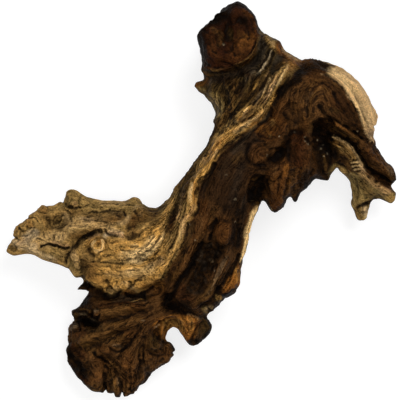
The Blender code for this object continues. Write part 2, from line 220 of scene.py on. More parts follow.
def onDrawing(places):
    # where the camera sees each place on the drawing
    grow = drawing["viewDistance"] / (drawing["viewDistance"] - (places[:, 2] - drawing["level"]))
    return (places[:, :2] + drawing["middle"]) * grow[:, None]


# The course of the grain. Each line follows the fibres, and its number says how far across
# the wood it runs, so the fibres of two lines never cross.
grainLines = [
    (-32, -22, 4, -31, -5, -45, -3, -60, -1, -80, 1, -96, 6),
    (-26, 4, 98, 6, 82, 10, 66, 8, 48, -1, 33, -12, 18, -20, 0, -30, -10, -45, -9, -60, -9, -78, -8, -100, -5,
        -115, -6),
    (-20, -10, 22, -17, 6, -24, -6, -34, -17, -48, -19, -64, -18, -82, -17, -100, -16, -120, -14),
    (-16, 34, 100, 28, 86, 20, 72, 13, 56, 4, 40, -6, 26),
    (-13, -5, 22, -13, 5, -20, -10, -29, -24, -40, -31, -55, -30, -72, -28, -90, -26, -110, -25, -130, -25),
    (-8, 48, 112, 50, 100, 44, 86, 36, 74, 22, 60, 12, 48, 2, 34, -8, 18),
    (-7, -10, 3, -16, -14, -24, -30, -34, -41, -48, -43, -62, -42, -78, -42, -95, -38, -115, -33, -140, -36),
    (0, 66, 101, 61, 93, 53, 80, 45, 66, 30, 55, 20, 47, 12, 37, 5, 27, -1, 16, -6, 3, -7, -8, -12, -20, -16, -33,
        -22, -43, -30, -52, -45, -56, -62, -57, -80, -55, -95, -50, -112, -45),
    (6, 75, 100, 66, 88, 57, 73, 43, 56, 28, 45, 16, 36, 9, 22, 2, 10, 0, -3, -6, -16, -9, -32, -17, -47, -26,
        -60, -40, -66, -60, -68),
    (14, 68, 78, 60, 62, 50, 50, 38, 44, 26, 34, 16, 22, 10, 8, 6, -6, 2, -20, -3, -36, -10, -52, -20, -66),
    (24, 44, 30, 32, 22, 24, 8, 18, -8, 13, -22, 8, -38, 2, -54, -8, -70),
    (33, 38, 10, 31, -4, 26, -20, 22, -38, 15, -54, 8, -69, -5, -80),
    (42, 44, -4, 38, -18, 34, -36, 28, -52, 20, -68, 8, -80, -4, -90),
    # rim and face of the cut stub
    (-30, 44, 122, 40, 110, 28, 101, 10, 97, 2, 99), (-36, 21, 124),
    # outer crest, rings of the shoulder
    (-12, 57, 120, 65, 110, 80, 104, 95, 103, 112, 94, 122, 83, 129, 72, 131, 56),
    (4, 84, 95, 93, 93, 101, 87, 108, 80, 113, 71, 118, 62, 122, 52),
    (10, 76, 88, 84, 90, 93, 90, 101, 84, 107, 76, 112, 66, 118, 55),
    (16, 80, 60, 79, 75, 84, 86, 92, 88, 97, 80, 102, 70, 110, 60, 118, 52),
    (22, 84, 64, 84, 74, 88, 80, 93, 79, 96, 72, 102, 64, 112, 54),
    (28, 88, 68, 90, 72, 94, 66, 104, 58, 116, 48),
    # ridges of the hook, its web and prong
    (36, 92, 60, 100, 57, 110, 50, 118, 43, 125, 35, 135, 27, 144, 19),
    (44, 98, 50, 105, 48, 111, 45, 116, 39, 121, 30, 127, 23, 135, 18, 142, 13),
    (52, 100, 46, 108, 42, 115, 35, 118, 28, 122, 23, 130, 15, 137, 8, 145, 1),
    (60, 113, 28, 117, 16, 122, 8, 130, 2), (62, 118, 20, 119, 5, 120, -12),
    # folds that hang from the trunk
    (32, 62, 62, 56, 44, 52, 24, 50, -2), (40, 70, 60, 66, 44, 62, 24, 58, 4),
    (48, 78, 56, 74, 40, 72, 22, 70, 2), (56, 84, 54, 83, 36, 82, 14), (64, 92, 50, 92, 34, 92, 18),
    # the lower fan
    (10, -28, -72, -50, -74, -70, -74, -86, -74), (16, -36, -78, -56, -80, -76, -84, -93, -86),
    (22, -40, -84, -60, -90, -80, -98, -98, -102), (28, -42, -88, -60, -100, -78, -112, -96, -122),
    (34, -42, -92, -56, -108, -70, -124, -84, -138), (40, -40, -94, -50, -112, -58, -130, -62, -146),
    (46, -36, -94, -42, -110, -44, -126, -46, -140), (52, -32, -94, -34, -106, -32, -118, -28, -122),
    (50, -14, -82, -12, -92, -10, -104), (58, 0, -84, 0, -94, 0, -104),
]

# Knots turn the grain into rings: x, y, radius, strength of the rings, height of the knob.
knots = [
    (-95, 3, 6, 5, 1.4), (-94, -3, 3, 4, 0.9), (-118, -6.5, 3.4, 5, 1.6), (-128, -16.5, 2.6, 4, 1.6),
    (-127, -19.5, 2.2, -3, 1.2), (-133, -21.5, 2.4, 4, 1.4), (-135, -25, 2.2, -3, 1.3), (-131, -24.5, 1.8, 3, 1),
    (-138, -21.5, 2.2, 3, 0.8), (-141.5, -35.5, 3, 6, 0.6), (-106, -27.5, 3.6, 5, 0.9), (-75.5, -34, 5, 9, 1.6),
    (-94.5, -43, 3.4, 5, 1.3), (-92.5, -49.5, 2.6, -4, 1.1), (-45.6, -8, 3, 7, 1.3), (-60, -62.5, 2.6, 4, 0.8),
    (-66.5, -68.5, 2.6, 3, 0.9), (17, -25, 7, 6, 0.8), (44, 35, 7, 9, 0.7), (54, 53, 5, 4, 0.7),
    (72, 38, 6, 5, 0.6), (88, 70, 6, 4, 0.4), (118, 51, 2.2, 5, 0.7), (14, -73, 2.6, 3, 1.2),
    (4, -82, 2.8, 4, 1.2), (8.5, -80, 2, 3, 0.9), (-34, -108, 5, 8, 0.6), (-77.5, -84.5, 3.2, 5, 1),
    (-62, -109, 3, 3, 0.6), (14, 119, 3, 3, 0.9), (31, 125, 3.2, 3, 1), (34, 116, 6, 3, 0.6),
    (10, 127, 3.4, -3, 0.9), (22, 107, 4, 3, 0.5), (-24, -92, 3, 4, 0.8), (63, 47, 3, 4, 0.6),
    (128, 37, 2.4, 3, 0.7),
]

grain = {
    "spread": 5.0,  # millimetres over which a line passes its number on
    "ease": 0.4,  # how far the field may miss the lines, so that it stays smooth
    "steps": 2,  # points between two drawn ones
    "atOnce": 20000,  # places worked out together, to spare memory
    "gnarlLoss": 0.7,  # how much of the grain a gnarl takes away
    "core": 0.5,  # share of a gnarl's or a flow's reach where its effect is whole
}


def grainField(places):
    # how far across the grain each drawn place lies, smooth between the drawn lines
    anchors, values = [], []
    for value, *points in grainLines:
        line = smoothLine(points, grain["steps"])
        anchors.extend(line)
        values.extend([value] * len(line))
    anchors, values = np.array(anchors), np.array(values, float)

    def pull(part):
        return np.sqrt(((part[:, None] - anchors[None]) ** 2).sum(axis=2) + grain["spread"] ** 2)

    weights = np.linalg.solve(pull(anchors) - grain["ease"] * np.eye(len(anchors)), values - values.mean())
    across = np.empty(len(places))
    for start in range(0, len(places), grain["atOnce"]):
        part = slice(start, start + grain["atOnce"])
        across[part] = pull(places[part]) @ weights + values.mean()
    for x, y, radius, rings, _ in knots:
        across += rings * hump(fromPoint(places, x, y), 0, radius)
    return across


# Kinds of mark: the sign of their height, the shade of their middle, the share of a raised lip. The shade is
# painted on: darker in cracks, grooves and traces as painted shade, lighter along ridges as a painted highlight.
crack, groove = (-1, 0.20, 0.14), (-1, 0.66, 0.08)
trace, ridge = (-1, 0.72, 0.0), (1, 1.18, 0.0)

# What is carved: kind, height, half width and the points of each mark.
marks = [
    # broken end of the left limb
    (crack, 2.6, 1.1, -98.5, -5.2, -95.5, -6.4, -92, -6.4, -89.8, -5.6),
    (crack, 1.5, 0.8, -87.5, -5.4, -85.5, -4.8, -83.5, -3.8), (groove, 1.4, 1.2, -101, -8, -97, -10, -93, -8.5),
    (crack, 1.5, 0.7, -109, -14.5, -108, -12.5, -105, -12.8, -102.5, -11.6),
    (crack, 1.5, 0.7, -109, -17.4, -106.5, -17, -104.5, -16.4),
    (groove, 1.2, 0.9, -109, -20, -106.5, -21.6, -104, -20.5),
    (groove, 1.6, 2.4, -115, -13.5, -112, -17, -113, -19.5),
    (crack, 1.3, 0.7, -129.5, -13.6, -126, -12.8, -123.5, -13.6, -121, -16.5),
    (groove, 1, 0.7, -126.5, -11.6, -123, -11.6, -120, -14.5, -118.5, -17.5),
    (ridge, 0.8, 0.8, -128, -12.6, -124.5, -12.2, -121.8, -14.2, -119.8, -17),
    (groove, 1, 0.8, -120.8, -4.6, -120.2, -8, -118.5, -9.8, -115, -9.9),
    (crack, 1.5, 0.8, -136, -20.6, -134, -22.8, -131.5, -23.2, -130, -22.9),
    (crack, 1.5, 0.8, -134.8, -24, -135.4, -26.2, -132.5, -26.8, -130.2, -27.4),
    (groove, 1.2, 0.8, -129.8, -20, -127, -21.6, -124.5, -20.6),
    (groove, 1, 0.8, -137.5, -27.6, -136.4, -30.6, -138.6, -32),
    (ridge, 1, 0.9, -137.5, -33.4, -134.5, -31, -131, -29.6),
    (trace, 0.7, 0.7, -138.8, -33.4, -137.6, -35.6, -138.6, -38.4),
    (crack, 1.3, 0.7, -122.6, -28.8, -120.5, -29.4, -117.6, -30.4),
    (trace, 0.9, 0.8, -119, -22.6, -116, -24.4, -113.5, -24.2),
    (trace, 0.9, 0.8, -117.5, -25.6, -115, -29, -112.4, -29.6),
    (trace, 0.9, 0.8, -112.4, -25.6, -109.8, -28, -110.4, -30.4),
    (crack, 2.2, 0.8, -118.8, -35.2, -116, -34, -113.4, -33.2, -110.6, -33.4),
    (crack, 1.6, 0.7, -110.6, -33.4, -108.8, -34.4, -107, -33.6, -106, -35),
    (crack, 2.2, 0.8, -105.8, -35.3, -103, -36.3, -100.6, -36.2, -98.6, -35.6),
    (ridge, 1, 0.9, -111, -31.6, -107.5, -32.4, -104.5, -34.2, -99.5, -34),
    (crack, 3, 1.2, -75.2, -23.3, -77.5, -23.1, -80, -24.6), (crack, 3.4, 1.6, -79, -24, -83, -26.4, -87, -28.4),
    (crack, 2.8, 1.2, -86.5, -28.4, -89.5, -30.4, -91.2, -32.2),
    (crack, 1.7, 0.8, -91.6, -32.8, -95, -35.8, -97.8, -38.8, -99.2, -42),
    (groove, 1.8, 1, -99.2, -42, -100.2, -45, -100.6, -48.6),
    (ridge, 1.4, 2, -96, -21.2, -91, -22.4, -86, -22.2, -80, -20.6),
    (ridge, 1, 0.9, -88, -30, -83.5, -28, -79.5, -26), (trace, 0.8, 0.7, -98, -13, -96.4, -16.4, -97, -19),
    (trace, 0.8, 0.8, -100, -18.6, -93, -20, -86, -20), (trace, 0.8, 0.8, -88, -10.4, -80, -9.2, -68, -8.2),
    (trace, 0.9, 0.9, -84, -12.6, -76, -12.6, -66, -13.4), (trace, 0.8, 0.8, -86, -14.4, -76, -15.4, -70, -16.4),
    (trace, 0.7, 0.8, -96, -46, -95, -50, -92, -53), (groove, 1.6, 1.3, -89.2, -46, -88.8, -52, -88.4, -59),
    (groove, 1, 0.9, -97.4, -41, -97.2, -46, -99, -51), (crack, 2, 1.1, -83, -37.6, -81.6, -40, -79.4, -41.6),
    (groove, 1, 0.8, -70.6, -30, -71, -34, -73.6, -38.8, -77, -41),
    (groove, 0.9, 0.8, -80.8, -37, -80.8, -33, -79, -29.6, -75, -28),
    (trace, 0.8, 0.8, -84, -46.8, -76, -45.2, -70, -42.6, -64, -41),
    (trace, 0.7, 0.8, -86, -50.6, -78, -50, -68, -49.6),
    # left limb towards the trunk
    (crack, 0.9, 0.6, -80, -8.2, -74, -8.6, -68, -8.4, -63, -7.4), (crack, 1.2, 0.9, -62, -8.4, -59.4, -8.2),
    (crack, 1.4, 1, -57.4, -8.6, -56.2, -11.2), (groove, 1, 1.2, -62.4, -11, -60, -12.4),
    (crack, 1.2, 0.7, -54.6, -3, -51.6, -3.8, -49.4, -3.4), (groove, 1, 0.9, -49.6, -5, -48.4, -9, -45, -12),
    (groove, 1.6, 2.6, -53, -21, -52, -26.6), (groove, 1.2, 1.8, -48, -27, -45.6, -26.4),
    (crack, 1.8, 0.9, -71.4, -22.4, -69.6, -24.8, -66.6, -26.4, -62.6, -26.8),
    (ridge, 1.2, 1.2, -68, -24, -64, -24.8, -59.6, -25.4, -58, -28),
    (trace, 0.9, 0.8, -70.6, -31.2, -66, -31.8, -61, -31.4), (trace, 0.7, 0.8, -60, -33.6, -53, -34.4, -47, -34),
    (trace, 0.7, 0.8, -58, -37.4, -50, -38.8, -43, -38),
    (crack, 1.2, 0.7, -58.5, -45.4, -55, -45.2, -51.6, -44.2),
    (trace, 0.8, 0.8, -72, -46.6, -64, -47.6, -58, -48),
    (groove, 0.8, 0.8, -39, -46.8, -33.4, -41.4, -29.6, -34.6, -27, -28),
    (ridge, 0.9, 1.1, -49, -46, -42, -43, -35.6, -38, -30.6, -31.6, -27.4, -25),
    (groove, 0.8, 0.6, -44, -41.2, -38, -37.6, -33.2, -32.4, -29.6, -26.6),
    (ridge, 1.2, 1.1, -46, -39.6, -39.6, -36, -35.4, -31.4, -31.4, -25),
    (trace, 0.8, 0.8, -45, -36, -39, -32.4, -35, -27.4), (trace, 0.8, 0.9, -45, -24.6, -40, -20.6, -35.6, -17.4),
    (trace, 0.8, 0.8, -40, -27, -36, -22.4, -31.6, -15.6), (trace, 0.7, 0.8, -62, -54, -52, -53, -42, -52),
    (trace, 0.7, 0.8, -80, -56, -70, -55.6, -60, -57), (trace, 0.7, 0.8, -44, -58, -38, -56, -32, -57),
    (crack, 1.6, 0.8, -69.6, -61, -68, -63.6, -66, -65.8),
    (crack, 1.8, 0.8, -45, -59.8, -48.6, -61, -49.6, -63.4, -52.4, -65.4, -54.8, -67.6),
    (crack, 2, 1.4, -51.4, -64), (crack, 1.4, 0.9, -53, -61, -51.6, -61.8),
    (trace, 0.9, 0.7, -58.4, -58.4, -57, -60.4, -57.4, -63),
    (trace, 0.9, 0.7, -63, -61, -62.4, -64.4, -60, -66.4), (crack, 4, 1.6, -86, -62.6, -79, -65.2, -74, -68),
    (crack, 3.4, 1.5, -73.4, -71.4, -67, -73, -62.6, -70.4, -58, -68.8, -54, -70.6),
    (crack, 2.8, 1.3, -54, -71.2, -47, -71.4, -41, -69, -35, -66),
    # strands of the pale crest
    (ridge, 1.5, 1.1, -2, 16, -5.6, 8, -6.6, 0, -6, -6, -8.4, -12), (trace, 0.9, 0.8, -3.4, 8, -4, 2, -3.6, -4),
    (ridge, 1.1, 1.1, -12.4, 3, -14.6, -6, -16.6, -13.6), (groove, 1.2, 0.9, -10, 4, -11.6, -6, -13, -12.6),
    (ridge, 1.2, 1.2, -14, -15, -12.6, -21, -14.2, -28, -17.4, -35, -22, -42.4, -27, -50),
    (groove, 1, 0.8, -16.6, -17, -17, -24, -20.4, -32, -25, -40), (ridge, 0.9, 0.9, -19, -20, -21, -27, -25, -35),
    (trace, 0.8, 0.8, -13.6, -24, -16, -32, -20.6, -40, -26, -48),
    (groove, 1.6, 1.8, -14, 6, -18.4, -6, -22.6, -16), (ridge, 0.9, 1, -18.4, 3, -22.8, -7, -28, -16),
    (crack, 2.6, 0.9, -8.6, -18.6, -9.8, -24, -11.4, -30, -13.8, -35.4),
    (crack, 2.6, 0.8, -13.8, -35.4, -18, -41.4, -22, -48, -26, -54.6, -29.4, -60.4),
    (crack, 2.4, 1.3, 1.6, 16.6, -1.8, 11, -2.2, 4, -1.4, -3), (crack, 2, 1, -1.4, -3, -1.6, -7, -4.6, -12),
    (crack, 2.2, 1.3, 10.4, 27, 8.4, 21.4, 4.4, 17.4), (groove, 1.6, 1, 28, 47, 22, 42, 15.6, 37, 11.6, 31),
    (ridge, 1.4, 1.2, 47, 67, 41, 61.4, 33, 57, 25, 51.6), (ridge, 1.3, 1.1, 22, 48, 14, 40, 9, 32, 4, 24),
    (trace, 0.8, 0.7, 26, 52, 18, 45, 12, 38.4), (trace, 0.9, 0.7, 14, 43, 8, 35, 3, 27, -2, 19),
    (trace, 0.9, 0.7, 8, 42, 2, 34, -4, 25), (crack, 1.3, 0.8, 13.6, 42.4, 12.4, 41),
    (crack, 1.2, 0.7, 5.4, 35, 3.6, 33), (crack, 1.4, 0.8, 22, 54.4, 25.4, 56.2, 24.4, 59, 28, 62),
    (crack, 1.4, 0.9, 22.6, 63, 26, 65), (ridge, 1.3, 0.9, 36.6, 69.6, 33, 66.4, 30, 62, 28.4, 59),
    (groove, 1.2, 0.9, 38.6, 68, 34.4, 62, 31.4, 58.4), (ridge, 1.6, 0.9, 65.4, 100, 62, 95, 60.4, 90, 58.4, 86),
    (groove, 1.3, 0.7, 63, 99, 59.4, 93.4, 57, 87), (ridge, 1.4, 1.1, 57, 93, 54, 86, 51, 79),
    (groove, 1.2, 0.8, 55, 95, 51.4, 87, 48, 79, 44, 72), (ridge, 1.4, 1, 58, 84, 54.6, 76, 51.6, 69.6),
    (groove, 1.2, 0.7, 56, 84, 52.6, 77, 48.6, 71), (ridge, 1, 0.8, 48, 81, 44.6, 75.4, 41.4, 71.4),
    (crack, 1.3, 0.7, 46, 80, 42.6, 75, 39.6, 72), (crack, 1.2, 0.7, 50, 77, 46, 71.6),
    (crack, 2.2, 1.2, 62, 84, 58.6, 78, 55.4, 71.6), (groove, 1.6, 0.9, 53.8, 68, 49.6, 61, 44, 57),
    # neck
    (ridge, 1.2, 0.8, 54, 113.4, 52, 108, 49.6, 103, 46, 98, 42.6, 94),
    (groove, 1.3, 0.9, 52.6, 114, 50, 108, 47.4, 103, 43, 97), (groove, 1.2, 0.9, 55.4, 110, 52.4, 104, 48.6, 99),
    (ridge, 0.9, 0.7, 51.4, 98, 50.6, 95, 49.4, 93), (crack, 1.1, 0.7, 49.6, 98.6, 47.4, 95),
    (ridge, 1, 1, 44, 90, 42, 87, 40.6, 84), (trace, 1, 0.8, 46.4, 92, 43.6, 85, 39, 79),
    (trace, 1, 0.8, 40, 92, 37, 84, 32, 77), (ridge, 0.9, 0.9, 34, 90, 29, 80, 22, 70, 16, 61),
    (trace, 1, 0.9, 31, 90, 25.6, 80, 19, 70, 14, 62), (trace, 1, 0.9, 38, 78, 31, 71, 23, 64, 17, 56),
    (crack, 1.2, 0.8, 66, 104.4, 63.4, 102, 60, 100.4), (groove, 1, 0.8, 62, 108, 66, 105, 70, 104),
    (groove, 1.2, 1, 48, 124, 46.6, 119, 45.4, 114), (trace, 1, 0.8, 60, 116, 62, 110, 66, 107),
    (groove, 1.2, 0.9, 50, 121, 48.4, 116), (trace, 0.9, 0.8, 3, 97.4, 9, 95.4, 16, 95),
    (ridge, 0.9, 0.8, 3.6, 99, 9.6, 97.4, 16, 96.6), (ridge, 0.9, 0.8, 3.4, 94.6, 9, 93.8, 14, 94),
    # cut stub
    (ridge, 1.3, 0.8, 43.4, 122, 42.8, 117, 41, 112.6, 38, 108.6, 35, 105.6, 31, 103.4, 26, 101.6),
    (groove, 1.4, 0.8, 41.6, 119, 39.6, 113.4, 36.4, 109.6, 33, 106.8, 28, 104.6),
    (ridge, 0.9, 0.7, 39.6, 114.6, 36, 110.4, 32, 107.6), (groove, 1.4, 1, 24, 100, 17, 98.4, 10, 99.6, 4, 102),
    (crack, 2.4, 2.4, 12, 136, 17, 138), (crack, 2.4, 2.2, 27, 135.4, 32, 134.6), (crack, 1.8, 1.8, 3.4, 127.6),
    (crack, 1.3, 1, 20, 131, 19.4, 125, 21, 120), (groove, 1.2, 1, 6, 122, 8, 115, 13, 109),
    (groove, 1.2, 1, 26, 122, 24, 115, 26, 109), (crack, 1.3, 0.9, 35, 130, 37, 124, 35.4, 120.6),
    (groove, 1, 0.8, 12, 125, 12.6, 118, 17, 113), (groove, 1.2, 1, 33, 141, 38.4, 135, 40.6, 128),
    (ridge, 1, 1, 35, 142, 40, 135.6, 42.4, 128), (groove, 1, 0.9, 18, 112, 24, 109, 31, 110),
    # right border of the trunk, kidney lobe, folds
    (groove, 1.4, 0.9, 49.4, 60, 45, 56, 40, 52, 36, 46.6, 33, 42),
    (groove, 1.6, 1.2, 37, 41, 34.8, 35, 36.4, 29, 41, 26, 48, 26), (groove, 1.4, 1, 38.4, 43, 44, 45, 49, 44),
    (crack, 1.6, 1.1, 48.6, 42, 51, 39, 55, 37.8, 59, 38.8), (crack, 3, 3.2, 56, 31, 61, 35),
    (groove, 1.2, 1, 44, 49, 50, 46.4, 56, 47.6), (groove, 1.2, 0.9, 58, 55, 55.4, 51, 52, 48.6),
    (groove, 1.4, 1, 63, 60, 60, 54, 57, 50), (crack, 1.8, 1.8, 63, 65, 65, 62),
    (groove, 1, 0.8, 52, 65, 54.6, 60, 52, 55), (groove, 1.2, 0.9, 65.4, 55, 64, 48, 62.4, 43),
    (crack, 1.8, 1.3, 67, 49, 70, 51.6, 74, 50.4), (groove, 1.4, 1.1, 66.6, 44, 66, 34, 68, 26),
    (groove, 1.2, 1, 56, 25, 48, 22.6, 41, 22), (groove, 1.3, 1, 60, 24, 54, 20, 50, 14),
    (ridge, 1, 1, 40, 15, 44, 18.4, 48, 20), (crack, 3, 2.6, 45, 11, 44, 3), (crack, 2.4, 1.7, 38, 6, 38, 1),
    (crack, 1.8, 1.2, 47, 18, 43, 13.6, 40, 9), (groove, 1.2, 1, 62, 22, 59, 12, 58, 4),
    (groove, 1.4, 1.1, 66.4, 18, 65, 9, 63, 1), (groove, 1.2, 0.9, 52, 12, 56, 13.4, 60, 17),
    (ridge, 1, 1.2, 65.4, 25, 64.4, 19), (groove, 1.3, 1.1, 76, 24, 74, 17, 74.6, 11),
    (groove, 1.4, 1.1, 80, 22, 78, 16, 79.4, 11), (groove, 1.2, 1, 85, 24, 83.4, 19),
    (crack, 2, 1.6, 80, 46, 82.6, 42, 86, 44), (crack, 3.4, 4, 88, 50, 92, 44, 96, 38),
    (crack, 2.4, 2.4, 96, 50, 99, 45), (crack, 2.4, 2, 101, 38, 101.6, 32),
    (groove, 1.4, 1.2, 88, 34, 90, 26, 93, 20), (ridge, 1.2, 1.2, 92.6, 34, 94, 27, 95, 21),
    (crack, 1.8, 1.3, 97.6, 33, 98, 27), (ridge, 1, 1, 84, 56, 85, 50, 83.6, 45),
    # rings of the shoulder
    (ridge, 0.7, 0.8, 78, 60, 77.4, 70, 80, 81, 85.6, 88.6, 92, 90.4, 100, 87, 107, 79.4),
    (groove, 1.1, 1, 80.6, 60, 80, 70, 82.6, 79.6, 87.4, 86, 92.6, 87.4, 98.6, 83.6, 102, 77),
    (ridge, 0.6, 0.8, 83, 64, 82.8, 72, 86, 80, 91.4, 84, 96.6, 80.6, 99, 74),
    (groove, 1.1, 0.9, 85, 66, 85.4, 73, 88.6, 78.6, 92.6, 79, 95, 74.6), (groove, 1.2, 1.2, 91.4, 73, 92.4, 71),
    (groove, 1.2, 1.4, 97.6, 68.4, 99, 67), (trace, 0.9, 0.9, 74, 62, 73.4, 72, 76, 82, 80, 90),
    (trace, 0.9, 0.9, 70, 64, 69.6, 74, 72, 84, 75, 90), (trace, 0.9, 0.9, 66.6, 70, 67, 78, 69, 85),
    (trace, 0.9, 0.9, 104, 84, 109, 76, 113, 67, 118, 58), (trace, 0.9, 0.9, 100, 80, 104, 72, 110, 63, 116, 55),
    (groove, 1.6, 0.9, 93.6, 94, 100, 90, 106, 85, 111, 78.4, 115.4, 71, 119.6, 63, 122, 55),
    (crack, 2.4, 1.1, 89.6, 70.6, 94, 65, 99.4, 60.6, 105, 57.4, 111.6, 53),
    (crack, 2.2, 1, 111.6, 53, 117, 49.4, 121.6, 46),
    (crack, 1.6, 0.8, 116.2, 51, 117.6, 49.4, 119.4, 50, 119.6, 52, 118, 53),
    (groove, 1.4, 1.2, 84, 57, 88, 61.6, 91, 60),
    # hook
    (ridge, 1.2, 1.4, 96, 58.6, 104, 56, 112, 51, 119.6, 45),
    (crack, 2.8, 1.3, 97, 49.4, 103, 48.2, 109.4, 46, 115, 41.4, 118.4, 36),
    (crack, 2.4, 1.1, 118.4, 36, 121.4, 31, 125, 26),
    (ridge, 1.5, 0.9, 100.6, 47, 107, 44.4, 112.6, 40.6, 116.6, 36, 119.4, 31, 122, 26),
    (groove, 1, 0.9, 104, 42, 109, 38.6, 113, 33), (trace, 0.9, 0.7, 112.4, 30.6, 115.6, 30),
    (crack, 1.2, 0.7, 114.4, 28.6, 117.6, 29.6), (crack, 1.2, 0.7, 114.6, 26.2, 118.4, 27),
    (crack, 1.2, 0.7, 115.4, 23.6, 119, 24.6), (crack, 1.2, 0.7, 116.6, 21.2, 120.2, 22.2),
    (crack, 3, 1.1, 124, 26, 129.6, 21.4, 135.6, 18, 141.4, 14.6), (groove, 1.4, 1, 118, 42, 121, 46, 126, 44),
    (groove, 1.2, 1, 122, 38, 127, 31.4, 134, 26), (groove, 1, 0.9, 130, 38, 134, 32, 140, 26),
    (crack, 1.6, 1.1, 126.4, 17.6, 127.6, 16.6), (crack, 1.8, 1.2, 131, 14.6, 132.6, 13.6),
    (crack, 1.6, 1, 134.6, 10.4), (crack, 1.2, 0.8, 138, 4, 142, 3.4),
    (trace, 0.9, 0.8, 122, 20, 128, 15, 134, 8), (trace, 0.8, 0.9, 116, 16, 118, 8, 118, -2),
    (trace, 0.8, 0.9, 120, 16, 123, 9, 128, 4), (crack, 1.6, 0.9, 118.4, -5.6, 121.6, -4, 126, -2.4, 131, 0.6),
    (groove, 1.2, 1.2, 122.4, -6, 122, -11, 121, -15), (groove, 1.2, 1, 101, 28, 106, 26.4, 111, 21),
    # dark wood of the lower trunk
    (groove, 1.2, 1, 8, -20, 4, -27, 1, -33, -5, -46, -12, -58), (crack, 2.4, 1.8, 1.6, -34, -4, -45, -9.4, -54),
    (crack, 2.6, 1.7, -9.4, -54, -16, -62, -21, -71, -24, -78), (crack, 2.2, 1.4, 12, -15.4, 9, -21, 7.6, -29),
    (groove, 1.4, 1, 12.4, -16.6, 16, -14.8, 21, -16),
    (groove, 1.4, 1.2, 11.6, -32, 16, -36, 21.6, -35.4, 24.6, -29),
    (groove, 1.4, 1.1, 25, -15, 26.4, -22, 25.4, -29),
    (groove, 1.6, 1.2, 30, -8, 28.6, -18, 29.4, -28, 27.4, -35), (trace, 1, 0.9, 34, 2, 32.4, -8, 31, -18),
    (ridge, 1.2, 0.8, 20, -42.6, 17, -50, 13.2, -58, 10, -64.4, 6, -70.6),
    (groove, 1.4, 0.9, 21.8, -43, 18.6, -51, 15, -58.6, 12, -65),
    (ridge, 0.9, 0.8, 17.4, -45, 14, -53, 10, -60.6), (groove, 1.2, 0.9, 18.6, -43.4, 15.4, -51, 11.6, -59),
    (ridge, 1, 0.8, 3, -71.4, -1, -75, -5.6, -78.4), (crack, 1.8, 1.2, 29.4, -42, 26, -49, 21, -57, 18, -62),
    (crack, 1.4, 0.8, 30, -65.6, 25, -67.6, 19.4, -71.4), (trace, 0.8, 0.7, 28.6, -52, 29.4, -57, 29.2, -62),
    (crack, 2.2, 1.7, 13.4, -66.6, 13.6, -69.4), (crack, 1.6, 1, 11, -72, 10.6, -75, 13, -77.4),
    (crack, 1.6, 0.9, 17.4, -72, 18.6, -74.4, 15.6, -77), (crack, 1.6, 1, 0, -79.6, 5, -77, 9.6, -76),
    (crack, 1.2, 0.8, 2, -80.6, 4.6, -79.4, 7, -81.6), (crack, 1.2, 0.8, 6.6, -83.6, 8, -82),
    (crack, 3.4, 3.4, -24, -80, -17, -81), (crack, 2.6, 2, -24, -72, -26, -79),
    (crack, 1.8, 1.2, -12, -84.6, -5, -85.4, 1, -88.4, 4.6, -88.6),
    (ridge, 0.9, 0.8, -9, -85.6, -4.6, -87, -0.6, -88.4),
    # small stub at the bottom
    (groove, 1.2, 1, 1.6, -91.6, -2.6, -96, -5.6, -103), (trace, 0.9, 0.8, -18, -88, -14, -94, -10, -101),
    (trace, 0.9, 0.8, -13, -87, -10, -93, -7.6, -99), (trace, 0.9, 0.8, -7, -88.6, -6, -94, -6.6, -98),
    (groove, 1.2, 0.9, -27, -90, -24, -94, -26.4, -97), (crack, 1.4, 1.2, -6, -104.6, -3, -106.6),
    (groove, 1, 0.9, 3, -92, 5, -97, 2, -102),
    # lower fan
    (crack, 4, 2.8, -88.4, -89.6, -84, -91.6, -80.4, -92.6),
    (ridge, 1.3, 0.9, -90, -85.4, -86, -86, -83, -88.4, -78.6, -91, -76.4, -91.4),
    (groove, 1.4, 0.9, -90, -83.6, -85, -83.6, -81.4, -86.4),
    (ridge, 1, 0.8, -90.4, -81.8, -86, -81.8, -82.6, -83.6),
    (crack, 1.8, 1, -81, -87.6, -78, -89, -75.4, -87, -75.4, -83, -77.6, -81),
    (crack, 1.5, 0.9, -80.6, -82, -80.8, -85.4), (crack, 1.8, 1.1, -92.6, -88, -91.4, -93, -90, -97),
    (ridge, 1, 0.9, -93.4, -89, -92.8, -94, -97, -96.8), (groove, 1.4, 1.1, -97, -99, -91, -98, -86, -96.4),
    (trace, 1, 1, -76, -78.8, -66, -78, -56, -77, -45, -78.6), (groove, 1.2, 1, -74, -81, -64, -79.6, -54, -79),
    (groove, 1.4, 1.1, -78, -91.6, -68, -90.6, -58, -88.4, -48, -86),
    (trace, 0.9, 0.9, -70, -95.6, -60, -94, -50, -91.6), (groove, 1.2, 1.1, -84, -99.6, -76, -98, -66, -96.6),
    (trace, 0.9, 0.9, -88, -103, -78, -104.6, -70, -102.6), (trace, 0.9, 0.9, -76, -109, -71, -105.4, -66, -102),
    (trace, 0.9, 0.9, -70, -108, -65, -103, -58, -99), (ridge, 0.9, 1, -73, -108, -68.4, -104, -62, -100.6),
    (crack, 1.5, 0.9, -44.6, -96.6, -48.6, -102.6, -53, -108, -58, -112.6),
    (crack, 1.5, 1, -58, -112.6, -62.6, -113.6, -66.4, -112, -68.6, -109.6),
    (ridge, 0.9, 0.8, -65.6, -108.4, -61.6, -108.6, -58, -110.4),
    (crack, 2.6, 1.2, -79.6, -114.6, -77, -117.4, -73.4, -118.4, -70, -121.4),
    (crack, 2.6, 1.1, -70, -121.4, -66, -125, -62.4, -128.6, -60.2, -133, -59.2, -140, -58.6, -149),
    (ridge, 1, 0.8, -70, -119.8, -66.4, -122.4, -63, -125),
    (crack, 1.8, 0.9, -71, -124.4, -66.6, -127.6, -63.6, -130),
    (crack, 2.6, 1.1, -71.4, -129.6, -71, -135, -71.2, -141.6),
    (groove, 1.4, 1, -67.4, -131, -67, -138, -67.4, -144),
